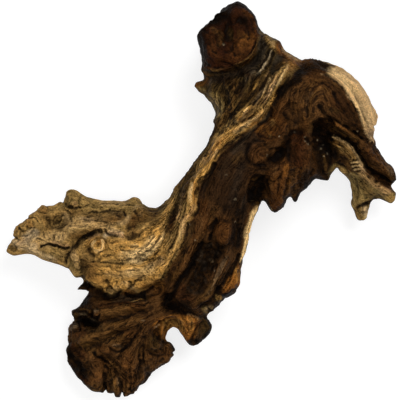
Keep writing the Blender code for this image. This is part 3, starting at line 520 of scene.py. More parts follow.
    (groove, 1.2, 0.9, -62.6, -133, -62.4, -140, -62.4, -146),
    (crack, 1.4, 0.8, -52.4, -132, -52, -137, -52.6, -142.6),
    (groove, 1.2, 0.8, -48.4, -131, -49, -136, -49.6, -140),
    (groove, 1.2, 0.9, -56, -130, -56, -138, -56.4, -145),
    (ridge, 0.7, 0.6, -43.6, -111, -44.2, -115, -44, -119.6),
    (crack, 1.1, 0.6, -45, -111, -45.6, -117, -45, -121), (crack, 1.1, 0.6, -42.4, -110, -42.6, -116, -42, -121),
    (crack, 2.2, 1.3, -43.6, -121, -44.6, -126, -45, -133),
    (groove, 1.2, 0.9, -38, -104, -38.4, -109.6, -34, -113.4, -28.6, -112.4),
    (groove, 1, 0.8, -35, -105, -35.4, -109, -32, -110.4), (groove, 1.4, 1.1, -40, -113, -33, -117, -25, -116.6),
    (groove, 1.4, 1.1, -40, -121, -34, -121.6, -28, -120), (groove, 1.2, 1, -40, -128, -36.6, -124, -33, -122.6),
    (groove, 1, 1, -22, -110, -23.6, -115, -21.6, -119), (crack, 2.4, 2, -31, -100, -29.6, -104, -26.6, -106.4),
    (ridge, 0.7, 0.6, -34, -95.4, -30.4, -93.2), (groove, 1, 0.9, -35, -92, -32, -90.6, -30, -91),
    (crack, 2.2, 2.4, -96, -117, -92, -123), (crack, 1.8, 1.8, -91, -123, -88, -128),
    (groove, 1.4, 1.2, -99, -106, -94, -107, -90, -111), (groove, 1.4, 1.2, -96, -112, -91, -115, -87, -120),
    (groove, 1.2, 1, -86, -112, -84, -117, -85, -122), (groove, 1.4, 1.1, -84, -127, -80, -133, -79, -140),
    (groove, 1.2, 1, -89, -131, -85, -136), (crack, 1.8, 1.3, -41.6, -72, -41, -76),
    (crack, 1.6, 1.1, -46, -79.4, -42, -79, -39, -77),
]

# Rough knobbly places: x, y, reach, height and size of the lumps.
gnarls = [
    (8, -39, 11, 1.7, 4.2), (14, -40, 7, 1.4, 3.6), (0, -56, 9, 1.7, 4.2), (-3, -65, 8, 1.5, 4),
    (22, 124, 20, 1.1, 6.5), (90, 40, 10, 1.5, 4), (94, 30, 8, 1.2, 4), (-130, -22, 9, 1, 3.4),
    (-113, -24, 10, 0.9, 3.4), (-106, -15, 7, 1.2, 3), (-120, -11, 6, 0.9, 3), (-96, -33, 6, 0.7, 3.4),
    (-93, -46, 6, 0.7, 3.4), (-56, -17, 6, 0.6, 4), (-60, -63, 13, 1, 3.6), (6, -81, 6, 1.3, 3.4),
    (-95, -106, 9, 1.2, 5), (86, 100, 13, 0.9, 3.2), (56, 46, 8, 0.8, 4), (-85, -83, 9, 1, 4.4),
    (-24, -93, 7, 0.8, 3.4), (132, 13, 7, 0.8, 3.6), (117, 26, 6, 0.6, 2.8), (110, 94, 12, 0.3, 2.6),
    (121, 80, 13, 0.35, 2.6), (128, 62, 12, 0.35, 2.6),
]

# Where the grain stands out most: x, y, reach, how much stronger it is.
flows = [
    (34, 84, 30, 1), (16, 62, 16, 0.7), (24, 50, 14, 0.7), (0, 22, 18, 0.7), (-20, -8, 20, 0.9),
    (-34, -34, 22, 0.5), (-62, -46, 16, 0.3), (-68, -12, 14, 0.4), (-56, -92, 26, 0.5), (-58, -130, 20, 0.5),
    (12, -56, 14, 0.6), (-10, -40, 14, 0.5), (110, 40, 14, 0.4), (-12, -96, 10, 0.4),
]

# Rim shifts: x, y, right, up. Most are measured gaps to the photograph's outline, and some were changed one by one.
rimShifts = [
    (26, 148, -0.4, 1.5), (53, 123, 0.8, 1.4), (58, 120, 1.6, 1.6), (131, 65, 1.5, 1), (133, 61, 3, -0.6),
    (130, 56, 1.4, -0.1), (130, 47, -1.4, -0.1), (131, 43, -1.6, -0.4), (145, 12, 5.9, -2.6), (143, 8, 1.4, 0.4),
    (136, 2, 0.6, 1.6), (127, -2, 1.6, -2.3), (124, -11, 1.7, -0.5), (118, -14, 1.1, 1.4), (116, -10, 1.5, 0.7),
    (113, 4, 1.5, 0), (112, 8, 1.6, 0.4), (112, 13, 1.5, 0.1), (110, 17, 1.7, 1.7), (106, 20, -2.3, -3.2),
    (98, 20, -1.4, 0.8), (102, 23, -0.6, -1.6), (43, 134, 0.9, 0.5), (79, 8, -0.8, 1.1), (75, 5, -1.9, 1.3),
    (68, 2, 0.2, -2.1), (45, -1, -0.2, 0.2), (44, -5, -0.5, 0.1), (42, -10, -0.9, 0.4), (40, -14, -2.2, 0.9),
    (38, -19, -2.2, 0.6), (37, -23, -0.7, 0.1), (34, -37, -1.3, 0.2), (30, -59, 1.5, -0.1), (29, -64, 2.2, -0.9),
    (26, -68, 0.9, -1), (18, -75, -0.9, 1), (14, -79, -1.4, 1.1), (10, -82, -0.9, 1.3), (5, -86, -3.2, 1.6),
    (8, -95, 1.3, 0), (2, -104, -1.3, 1.6), (-7, -108, -0.7, -2.1), (-11, -105, -2, -1.5),
    (-14, -100, -1.3, -0.8), (-21, -94, 0.1, 4.3), (-26, -98, -4.4, 4.3), (-28, -103, -4.6, -1.5),
    (-20, -114, -1.5, -0.2), (-21, -118, 1.3, -0.7), (-29, -124, -0.5, 1.9), (-34, -126, -3, 3.7),
    (-37, -130, 2.1, -1.1), (-40, -134, 2.6, -3), (-44, -138, 0.8, -1), (-68, -145, 1.3, 1.3),
    (-72, -142, -0.6, 3.2), (-81, -143, -0.9, -1.9), (-85, -140, -0.9, -0.9), (-99, -122, -1.7, -0.4),
    (-100, -117, -2.8, -1), (-100, -112, -5.4, 0.1), (-100, -108, -4.2, 0.8), (-98, -104, 4.6, -1.4),
    (-99, -99, 1.3, 0.6), (-94, -92, 4.4, -1.3), (-92, -79, 0.8, -1.5), (-88, -76, 1.2, -0.7),
    (-86, -71, -1.6, 0.2), (-81, -69, -4, -0.8), (-88, -68, -1, -1.7), (-90, -60, -3.4, -2.4),
    (-106, -49, -0.6, -1.5), (-110, -47, -0.9, -2.4), (-115, -45, -0.8, -2.3), (-119, -44, -0.9, -1.8),
    (-124, -41, -0.7, -1.6), (-128, -40, -0.1, -1.6), (-133, -40, 0.2, -1.7), (-137, -40, 0, -1.3),
    (-144, -33, 1, -1), (-140, -29, 2.4, -0.9), (-112, -4, 0, -1.1), (-108, -2, 1, -2.4), (-104, 0, 0.8, -1.1),
    (-90, 5, -0.8, -1.1), (-50, 3, -0.1, -1.3), (-36, -6, -0.6, -3.4), (-32, -4, 1.6, -2.7), (-23, 4, -1.9, 1.4),
    (-20, 8, -1.4, 0.9), (-14, 17, 0.5, -0.3), (-10, 22, 1.8, -1.2), (-7, 26, 2.2, -1.9), (-3, 31, 2.7, -2),
    (0, 35, 2, -1.5), (4, 40, 1.3, -1), (8, 49, -1.8, 0.7), (10, 53, -2.4, 0.6), (10, 58, -1.5, 0.1),
    (10, 67, 2.1, 0), (9, 71, 2.9, 1.8), (1, 80, -1.7, -1.2), (1, 90, 1.1, -1.1), (-1, 122, 0.4, 0),
    (5, 132, 2.2, -3.3), (9, 136, -1, 0.8), (13, 141, -2.3, 2.9), (17, 143, -0.2, 0.2), (22, 147, -1.3, 2.4),
    (49, 125, -0.8, -1.5), (140, 29, -0.8, -1), (146, 16, -1.7, 0), (114, -5, -1.2, -0.4), (82, 12, 1.4, -1.2),
    (-25, -122, 1, -1.6), (-48, -142, -0.8, 1), (-76, -144, 0, -1.3), (-87, -62, 1.6, 1.3), (-101, -51, 0.7, 1.4),
    (-140, -25, -1.8, 0.4), (-139, -20, -1.8, 1), (-40.5, -3.5, 1.7, 2.5), (-45.5, 1.5, -0.8, -2.2),
    (5, 76, -0.8, -1.1), (-1, 127, -2.2, 0.4), (2, 131, -1.4, 1.4), (-60, -147, 0, -1.2), (-99, -95, -2, 0.9),
    (-27, -1, -0.7, 0.8), (83, 106, -0.1, 1.4), (62, -2, 0.9, -1.3), (-63, 0, 0, -1), (-23, -106, 0.6, 1.1),
    (-52, -146, 0.7, -0.9), (31, -54, -0.8, 0.2),
]

# Open splits in the rim: x, y, how far each runs inwards right and up, half width.
rimSplits = [
    (-59, -148, 0.5, 4.6, 0.75), (-66, -147, 0.8, 1.8, 1), (-71, -144, 0.4, 2.6, 1), (-49, -143, -1, 1.4, 0.9),
    (-40, -135, -0.9, 1.1, 1), (-19, -114, -2, 0, 1), (-134, -13, 1.4, -1.8, 0.9), (-140, -28, 2.2, 0, 1),
    (-104, 1, 0.6, -1.4, 1), (130, 55, -1.4, 0.4, 1), (77, 8, -0.8, 1.6, 1),
]

# Lengths are in millimetres. Wobbles are strength, size, seed and, where it differs, waves.
carving = {
    "rimReach": 250.0,  # square millimetres over which a shift of the rim is felt at all
    "rimSpread": 30.0,  # square millimetres in which it falls away
    "rimStrength": 1.1,
    "splitTaper": 1.8,  # a split's length, in times its drawn depth
    "trembles": ((0.4, 7, 31), (0.2, 2.4, 35)),  # of the drawn lines
    "visible": (-0.35, 0.2),  # facings at which a mark starts to show and is whole
    "pressure": (0.8, 0.25, 1.35),  # middle, least and most depth of a mark
    "pressureWobbles": ((0.5, 10, 33), (0.3, 3.2, 34)),
    "edge": (0.55, 0.45),  # steady and uneven part of a mark's width
    "lip": (2.2, 0.8),  # middle and width of the raised lip, in half widths
    "knotEdge": ((2, 0.14), (3, 0.1), (5, 0.06)),  # waves round a knot and their size
    "knotSeed": 500,
    "dome": 0.55,  # height of a knot, then the ring round it and the eye in it
    "moat": (0.22, 1.12, 0.22),
    "eye": (0.28, 0.3, 0.25),
    "lumps": ((1.0, 1.0, 40, 24), (0.5, 0.55, 80, 24)),  # of a gnarl, in times its size
    "creases": (0.5, 0.9, 120, 30, 0.16),  # and the last is how narrow they are
    "gnarlCore": 0.4,  # share of the reach in which the lumps are whole
    "swells": ((0.35, 9, 7), (0.22, 4.5, 8)),  # of the whole skin
    "lowest": -3.2,
    "highest": 2.2,
}


def shaken(drawn):
    # nothing in wood runs as true as a drawn line
    slow, quick = (drift(drawn, *tremble) for tremble in carving["trembles"])
    return drawn + slow + quick


def unevenness(drawn, middle, least, most):
    # how strongly a drawn mark shows along its way
    return np.clip(middle + wobbles(drawn, carving["pressureWobbles"]), least, most)


def knotShare(drawn, x, y, radius, number):
    # distance from a knot's middle, 1 at its uneven edge
    turn = np.arctan2(drawn[:, 1] - y, drawn[:, 0] - x)
    chance = np.random.default_rng(carving["knotSeed"] + number)
    edge = 1 + sum(size * np.cos(count * turn + chance.uniform(0, 6.28)) for count, size in carving["knotEdge"])
    return fromPoint(drawn, x, y) / (radius * edge)


def shiftRim(places, drawn):
    total, weight = np.zeros((len(places), 2)), np.zeros(len(places))
    for x, y, right, up in rimShifts:
        away = ((drawn - (x, y)) ** 2).sum(axis=1)
        near = np.flatnonzero(away < carving["rimReach"])
        share = np.exp(-away[near] / carving["rimSpread"])
        total[near] += share[:, None] * (right, up)
        weight[near] += share
    moved = places.copy()
    moved[:, :2] += carving["rimStrength"] * total / np.maximum(weight, 1)[:, None]
    for x, y, right, up, width in rimSplits:
        deep = np.hypot(right, up)
        inwards = (drawn - (x, y)) @ (right / deep, up / deep)
        aside = (drawn - (x, y)) @ (-up / deep, right / deep)
        share = hump(aside, 0, width) * fade(np.abs(inwards), deep * carving["splitTaper"], 0)
        moved[:, :2] += share[:, None] * (right, up)
    return moved


def carveSkin(places, facing, drawn):
    above = fade(facing[:, 2], *carving["visible"])
    height = np.zeros(len(places))
    drawn = shaken(drawn)
    uneven = unevenness(drawn, *carving["pressure"])
    steady, ragged = carving["edge"]
    for (sign, _, lip), rise, width, *points in marks:
        near, away = nearLine(drawn, smoothLine(points), width * 4)
        share = away / (width * (steady + ragged * uneven[near]))
        profile = hump(share, 0, 1) - lip * hump(share, *carving["lip"])
        height[near] += sign * rise * uneven[near] * profile * above[near]
    for i, (x, y, radius, _, rise) in enumerate(knots):
        away = knotShare(drawn, x, y, radius, i)
        dome = carving["dome"] * np.sqrt(np.clip(1 - away ** 2, 0, 1))
        for depth, middle, width in (carving["moat"], carving["eye"]):
            dome -= depth * hump(away, middle, width)
        height += rise * dome * above
    crease, creaseSize, creaseSeed, creaseWaves, creaseWidth = carving["creases"]
    for i, (x, y, reach, rise, size) in enumerate(gnarls):
        lumps = wobbles(places, [(strength, size * times, seed + i, waves)
                                 for strength, times, seed, waves in carving["lumps"]])
        lumps -= crease * hump(wobble(places, size * creaseSize, creaseSeed + i, creaseWaves), 0, creaseWidth)
        core = fade(fromPoint(drawn, x, y), reach, reach * carving["gnarlCore"])
        height += rise * lumps * core * above
    height += wobbles(places, carving["swells"])
    height = np.clip(height, carving["lowest"], carving["highest"])
    return places + facing * height[:, None]


def addNode(tree, kind, inputs=None, **settings):
    # a node with its settings, each input given as a value or as the socket that feeds it
    made = tree.nodes.new(kind)
    for name, value in settings.items():
        setattr(made, name, value)
    for name, value in (inputs or {}).items():
        if isinstance(value, bpy.types.NodeSocket):
            tree.links.new(value, made.inputs[name])
        else:
            made.inputs[name].default_value = value
    return made


def startGroup(name, kind, inputs, outputs):
    # a node group with named sockets: name to socket type and starting value
    tree = bpy.data.node_groups.new(name, kind)
    for socket, (form, start) in inputs.items():
        made = tree.interface.new_socket(socket, in_out="INPUT", socket_type=form)
        if start is not None:
            made.default_value = start
    for socket, form in outputs.items():
        tree.interface.new_socket(socket, in_out="OUTPUT", socket_type=form)
    return tree, tree.nodes.new("NodeGroupInput").outputs, tree.nodes.new("NodeGroupOutput").inputs


def startShaderGroup(name, inputs, outputs):
    form = "NodeSocketFloat"
    return startGroup(name, "ShaderNodeTree", {socket: (form, start) for socket, start in inputs.items()},
                      {socket: form for socket in outputs})


def mathNode(tree, operation, *values):
    return addNode(tree, "ShaderNodeMath", dict(enumerate(values)), operation=operation).outputs[0]


def spreadNode(tree, value, fromLow, fromHigh, toLow=0.0, toHigh=1.0):
    return addNode(tree, "ShaderNodeMapRange", {
        "Value": value, "From Min": fromLow, "From Max": fromHigh,
        "To Min": toLow, "To Max": toHigh}).outputs[0]


def noiseNode(tree, vector, scale, detail, roughness, time=None):
    inputs = {"Vector": vector, "Scale": scale, "Detail": detail, "Roughness": roughness}
    if time is None:
        return addNode(tree, "ShaderNodeTexNoise", inputs).outputs[0]
    return addNode(tree, "ShaderNodeTexNoise", {**inputs, "W": time}, noise_dimensions="4D").outputs[0]


def kept(tree, name, output="Fac"):
    # a value that the mesh carries
    return addNode(tree, "ShaderNodeAttribute", attribute_name=name).outputs[output]


def scaled(tree, vector, scale):
    return addNode(tree, "ShaderNodeVectorMath", {0: vector, "Scale": scale}, operation="SCALE").outputs[0]


def splitAxes(tree, vector):
    return addNode(tree, "ShaderNodeSeparateXYZ", {0: vector}).outputs[:3]


def grainNoise(tree, across, axes, width, length, shift, detail, roughness):
    # noise that is drawn out along the grain
    x, y, z = axes
    alongX, alongY = (mathNode(tree, "DIVIDE", axis, length) for axis in (x, y))
    vector = addNode(tree, "ShaderNodeCombineXYZ", {
        0: mathNode(tree, "DIVIDE", across, width), 1: mathNode(tree, "DIVIDE", z, width), 2: alongX}).outputs[0]
    return noiseNode(tree, vector, 1.0, detail, roughness, mathNode(tree, "ADD", alongY, shift))


# The furrows that Geometry Nodes raise along the grain.
furrows = {
    "Furrow depth": 0.24,  # millimetres
    "Furrow width": 2.6,  # millimetres across the grain
    "Furrow length": 34.0,  # millimetres along it
    "Fine depth": 0.24,
    "Fine width": 1.15,
    "Pore depth": 0.16,
    "Pore size": 2.4,
    "Shift": 3.7,  # another value gives another piece of wood
}


def furrowTree():
    form = "NodeSocketFloat"
    inputs = {"Skin": ("NodeSocketGeometry", None), "Wood": ("NodeSocketMaterial", None)}
    inputs.update({name: (form, value) for name, value in furrows.items()})
    tree, given, result = startGroup("growFurrows", "GeometryNodeTree", inputs, {"Skin": "NodeSocketGeometry"})
    across, weather = (
        addNode(tree, "GeometryNodeInputNamedAttribute", {"Name": name}, data_type="FLOAT").outputs[0]
        for name in ("across", "weather"))
    place = scaled(tree, addNode(tree, "GeometryNodeInputPosition").outputs[0], metre)
    wide, fine = (
        grainNoise(tree, across, splitAxes(tree, place), given[width], given["Furrow length"], given["Shift"],
                   detail, 0.55)
        for width, detail in (("Furrow width", 2.0), ("Fine width", 1.0)))
    # a ridged profile: narrow furrows between broad backs
    folded = mathNode(tree, "ABSOLUTE", mathNode(tree, "SUBTRACT", wide, 0.5))
    furrow = spreadNode(tree, folded, 0.0, 0.16, -1.0, 0.35)
    pore = noiseNode(tree, place, mathNode(tree, "DIVIDE", 1.0, given["Pore size"]), 3.0, 0.6, given["Shift"])
    deep = mathNode(tree, "MULTIPLY", furrow, given["Furrow depth"])
    withFine = mathNode(tree, "MULTIPLY_ADD", mathNode(tree, "SUBTRACT", fine, 0.5), given["Fine depth"], deep)
    grained = mathNode(tree, "MULTIPLY", withFine, weather)
    height = mathNode(tree, "MULTIPLY_ADD", mathNode(tree, "SUBTRACT", pore, 0.5), given["Pore depth"], grained)
    facing = addNode(tree, "GeometryNodeInputNormal").outputs[0]
    offset = scaled(tree, facing, mathNode(tree, "MULTIPLY", height, millimetre))
    stored = addNode(tree, "GeometryNodeStoreNamedAttribute", {
        "Geometry": given["Skin"], "Name": "furrow", "Value": furrow}, data_type="FLOAT", domain="POINT").outputs[0]
    moved = addNode(tree, "GeometryNodeSetPosition", {"Geometry": stored, "Offset": offset}).outputs[0]
    whole = addNode(tree, "GeometryNodeRealizeInstances", {"Geometry": moved}).outputs[0]
    finished = addNode(tree, "GeometryNodeSetMaterial", {"Geometry": whole, "Material": given["Wood"]}).outputs[0]
    tree.links.new(finished, result["Skin"])
    return tree


def setInputs(modifier, values):
    for item in modifier.node_group.interface.items_tree:
        if item.item_type == "SOCKET" and item.in_out == "INPUT" and item.name in values:
            modifier[item.identifier] = values[item.name]


# Colours of the wood as the eye sees them, red green blue up to 255.
palette = {
    "cream": (216, 180, 122), "gold": (180, 134, 68), "tan": (146, 114, 64), "paleTan": (178, 146, 98),
    "olive": (122, 100, 58), "darkOlive": (58, 43, 20), "umber": (88, 61, 28), "bark": (64, 41, 20),
    "deepBark": (39, 23, 10), "rust": (78, 46, 19), "orange": (122, 76, 30), "red": (52, 26, 10),
    "soot": (19, 11, 5), "char": (8, 5, 2), "heart": (42, 20, 8), "brown": (82, 54, 27), "dusk": (47, 30, 15),
    "amber": (150, 98, 42), "slate": (50, 43, 33), "grey": (108, 90, 66), "pink": (158, 122, 82),
    "sand": (190, 156, 110), "ash": (44, 35, 26), "bone": (190, 168, 132),
}

# Broad areas of colour, one over the other: colour, softness of the border, corners.
areas = [
    ("brown", 4, -92, -92, -78, -76, -40, -72, -28, -66, -24, -80, -32, -90, -36, -100, -16, -108, -20, -124, -50,
        -150, -80, -148, -88, -126, -92, -112),
    ("dusk", 4, 52, 70, 58, 62, 44, 44, 36, 24, 38, 0, 36, -14, 20, -8, 8, -2, -4, 4, 0, 20, 30, 50),
    ("brown", 3, 60, 70, 66, 82, 76, 91, 88, 95, 99, 91, 107, 82, 101, 68, 92, 61, 82, 52, 70, 56),
    ("brown", 3, 52, 24, 66, 30, 78, 24, 72, 4, 58, -4, 51, 10),
    ("brown", 3, 4, 4, 12, -4, 14, -14, 8, -24, -4, -34, -16, -54, -30, -66, -22, -50, -8, -24, -2, -8),
    ("tan", 0.9, -165, -62, -165, 20, -40, 20, -22, 6, -10, 26, 2, 38, 8, 47, 13, 52, 22, 60, 30, 67, 36, 72, 42,
        72, 47, 80, 51, 88, 56, 96, 62, 102, 70, 104, 75, 100, 68, 93, 62, 85, 58, 80, 55, 75, 52, 69, 49, 64, 45,
        59, 40, 56, 35, 53, 30, 50, 26, 45, 19, 42, 13, 38, 9.4, 33, 7, 27, 5, 22, 4, 19.4, 2, 18, -2, 12, -2.5,
        5, -2, 0, -1.5, -5, -4, -11, -8, -16, -9.5, -21, -11, -28, -13, -34, -17, -40, -21, -47, -25, -53, -28,
        -59, -30, -61, -35, -64, -41, -67, -45, -69, -50, -70.4, -54, -69.6, -56, -68, -60, -68, -63, -70, -67,
        -72.6, -70, -71, -72, -66, -76, -64.5, -80, -63, -86, -61.5, -92, -62),
    ("darkOlive", 2.5, -8, 92, 0, 82, 9, 73, 9, 60, 12, 52, 22, 60, 30, 67, 36, 72, 42, 72, 47, 80, 51, 88, 56,
        96, 62, 102, 58, 112, 52, 118, 44, 126, 42, 114, 34, 104, 20, 97, 2, 97),
    ("heart", 1.2, 44, 128, 43.4, 118, 40.6, 111, 34, 104.6, 27, 100.6, 20, 98, 10, 98, -10, 100, -10, 160, 60,
        160, 60, 134),
    ("sand", 0.7, 103, 101.6, 98, 97, 91.4, 93.8, 100, 90, 105, 86, 110, 80, 114, 73, 119, 65, 121.4, 58, 124, 50,
        128, 44, 133, 46, 145, 60, 145, 85, 120, 108, 103, 110),
    ("olive", 1, 98, 25, 103, 27.5, 108, 25, 112, 20.6, 118, 20.4, 123, 20, 128, 17, 133, 13.4, 138, 9.4, 142, 6,
        155, 5, 155, -6, 134, -1, 127, -4, 129, -22, 108, -22, 106, 8, 96, 18),
    ("cream", 0.7, 41.6, -4, 39.4, -9, 37, -14, 35.4, -20, 34, -27, 32.6, -34, 31.4, -41, 31, -47, 38, -48, 52,
        -8, 47, -3),
    ("orange", 0.6, 29.6, -49.4, 31, -64.6, 25, -66.6, 19.4, -70.4, 16.4, -68.4, 20, -60.6, 25, -53.4),
    ("orange", 1, -33, -89.4, -24, -87, -14, -86, -6, -87, 1.6, -90.4, -2.6, -96, -6, -104.4, -14, -107, -30,
        -104, -37, -97),
]

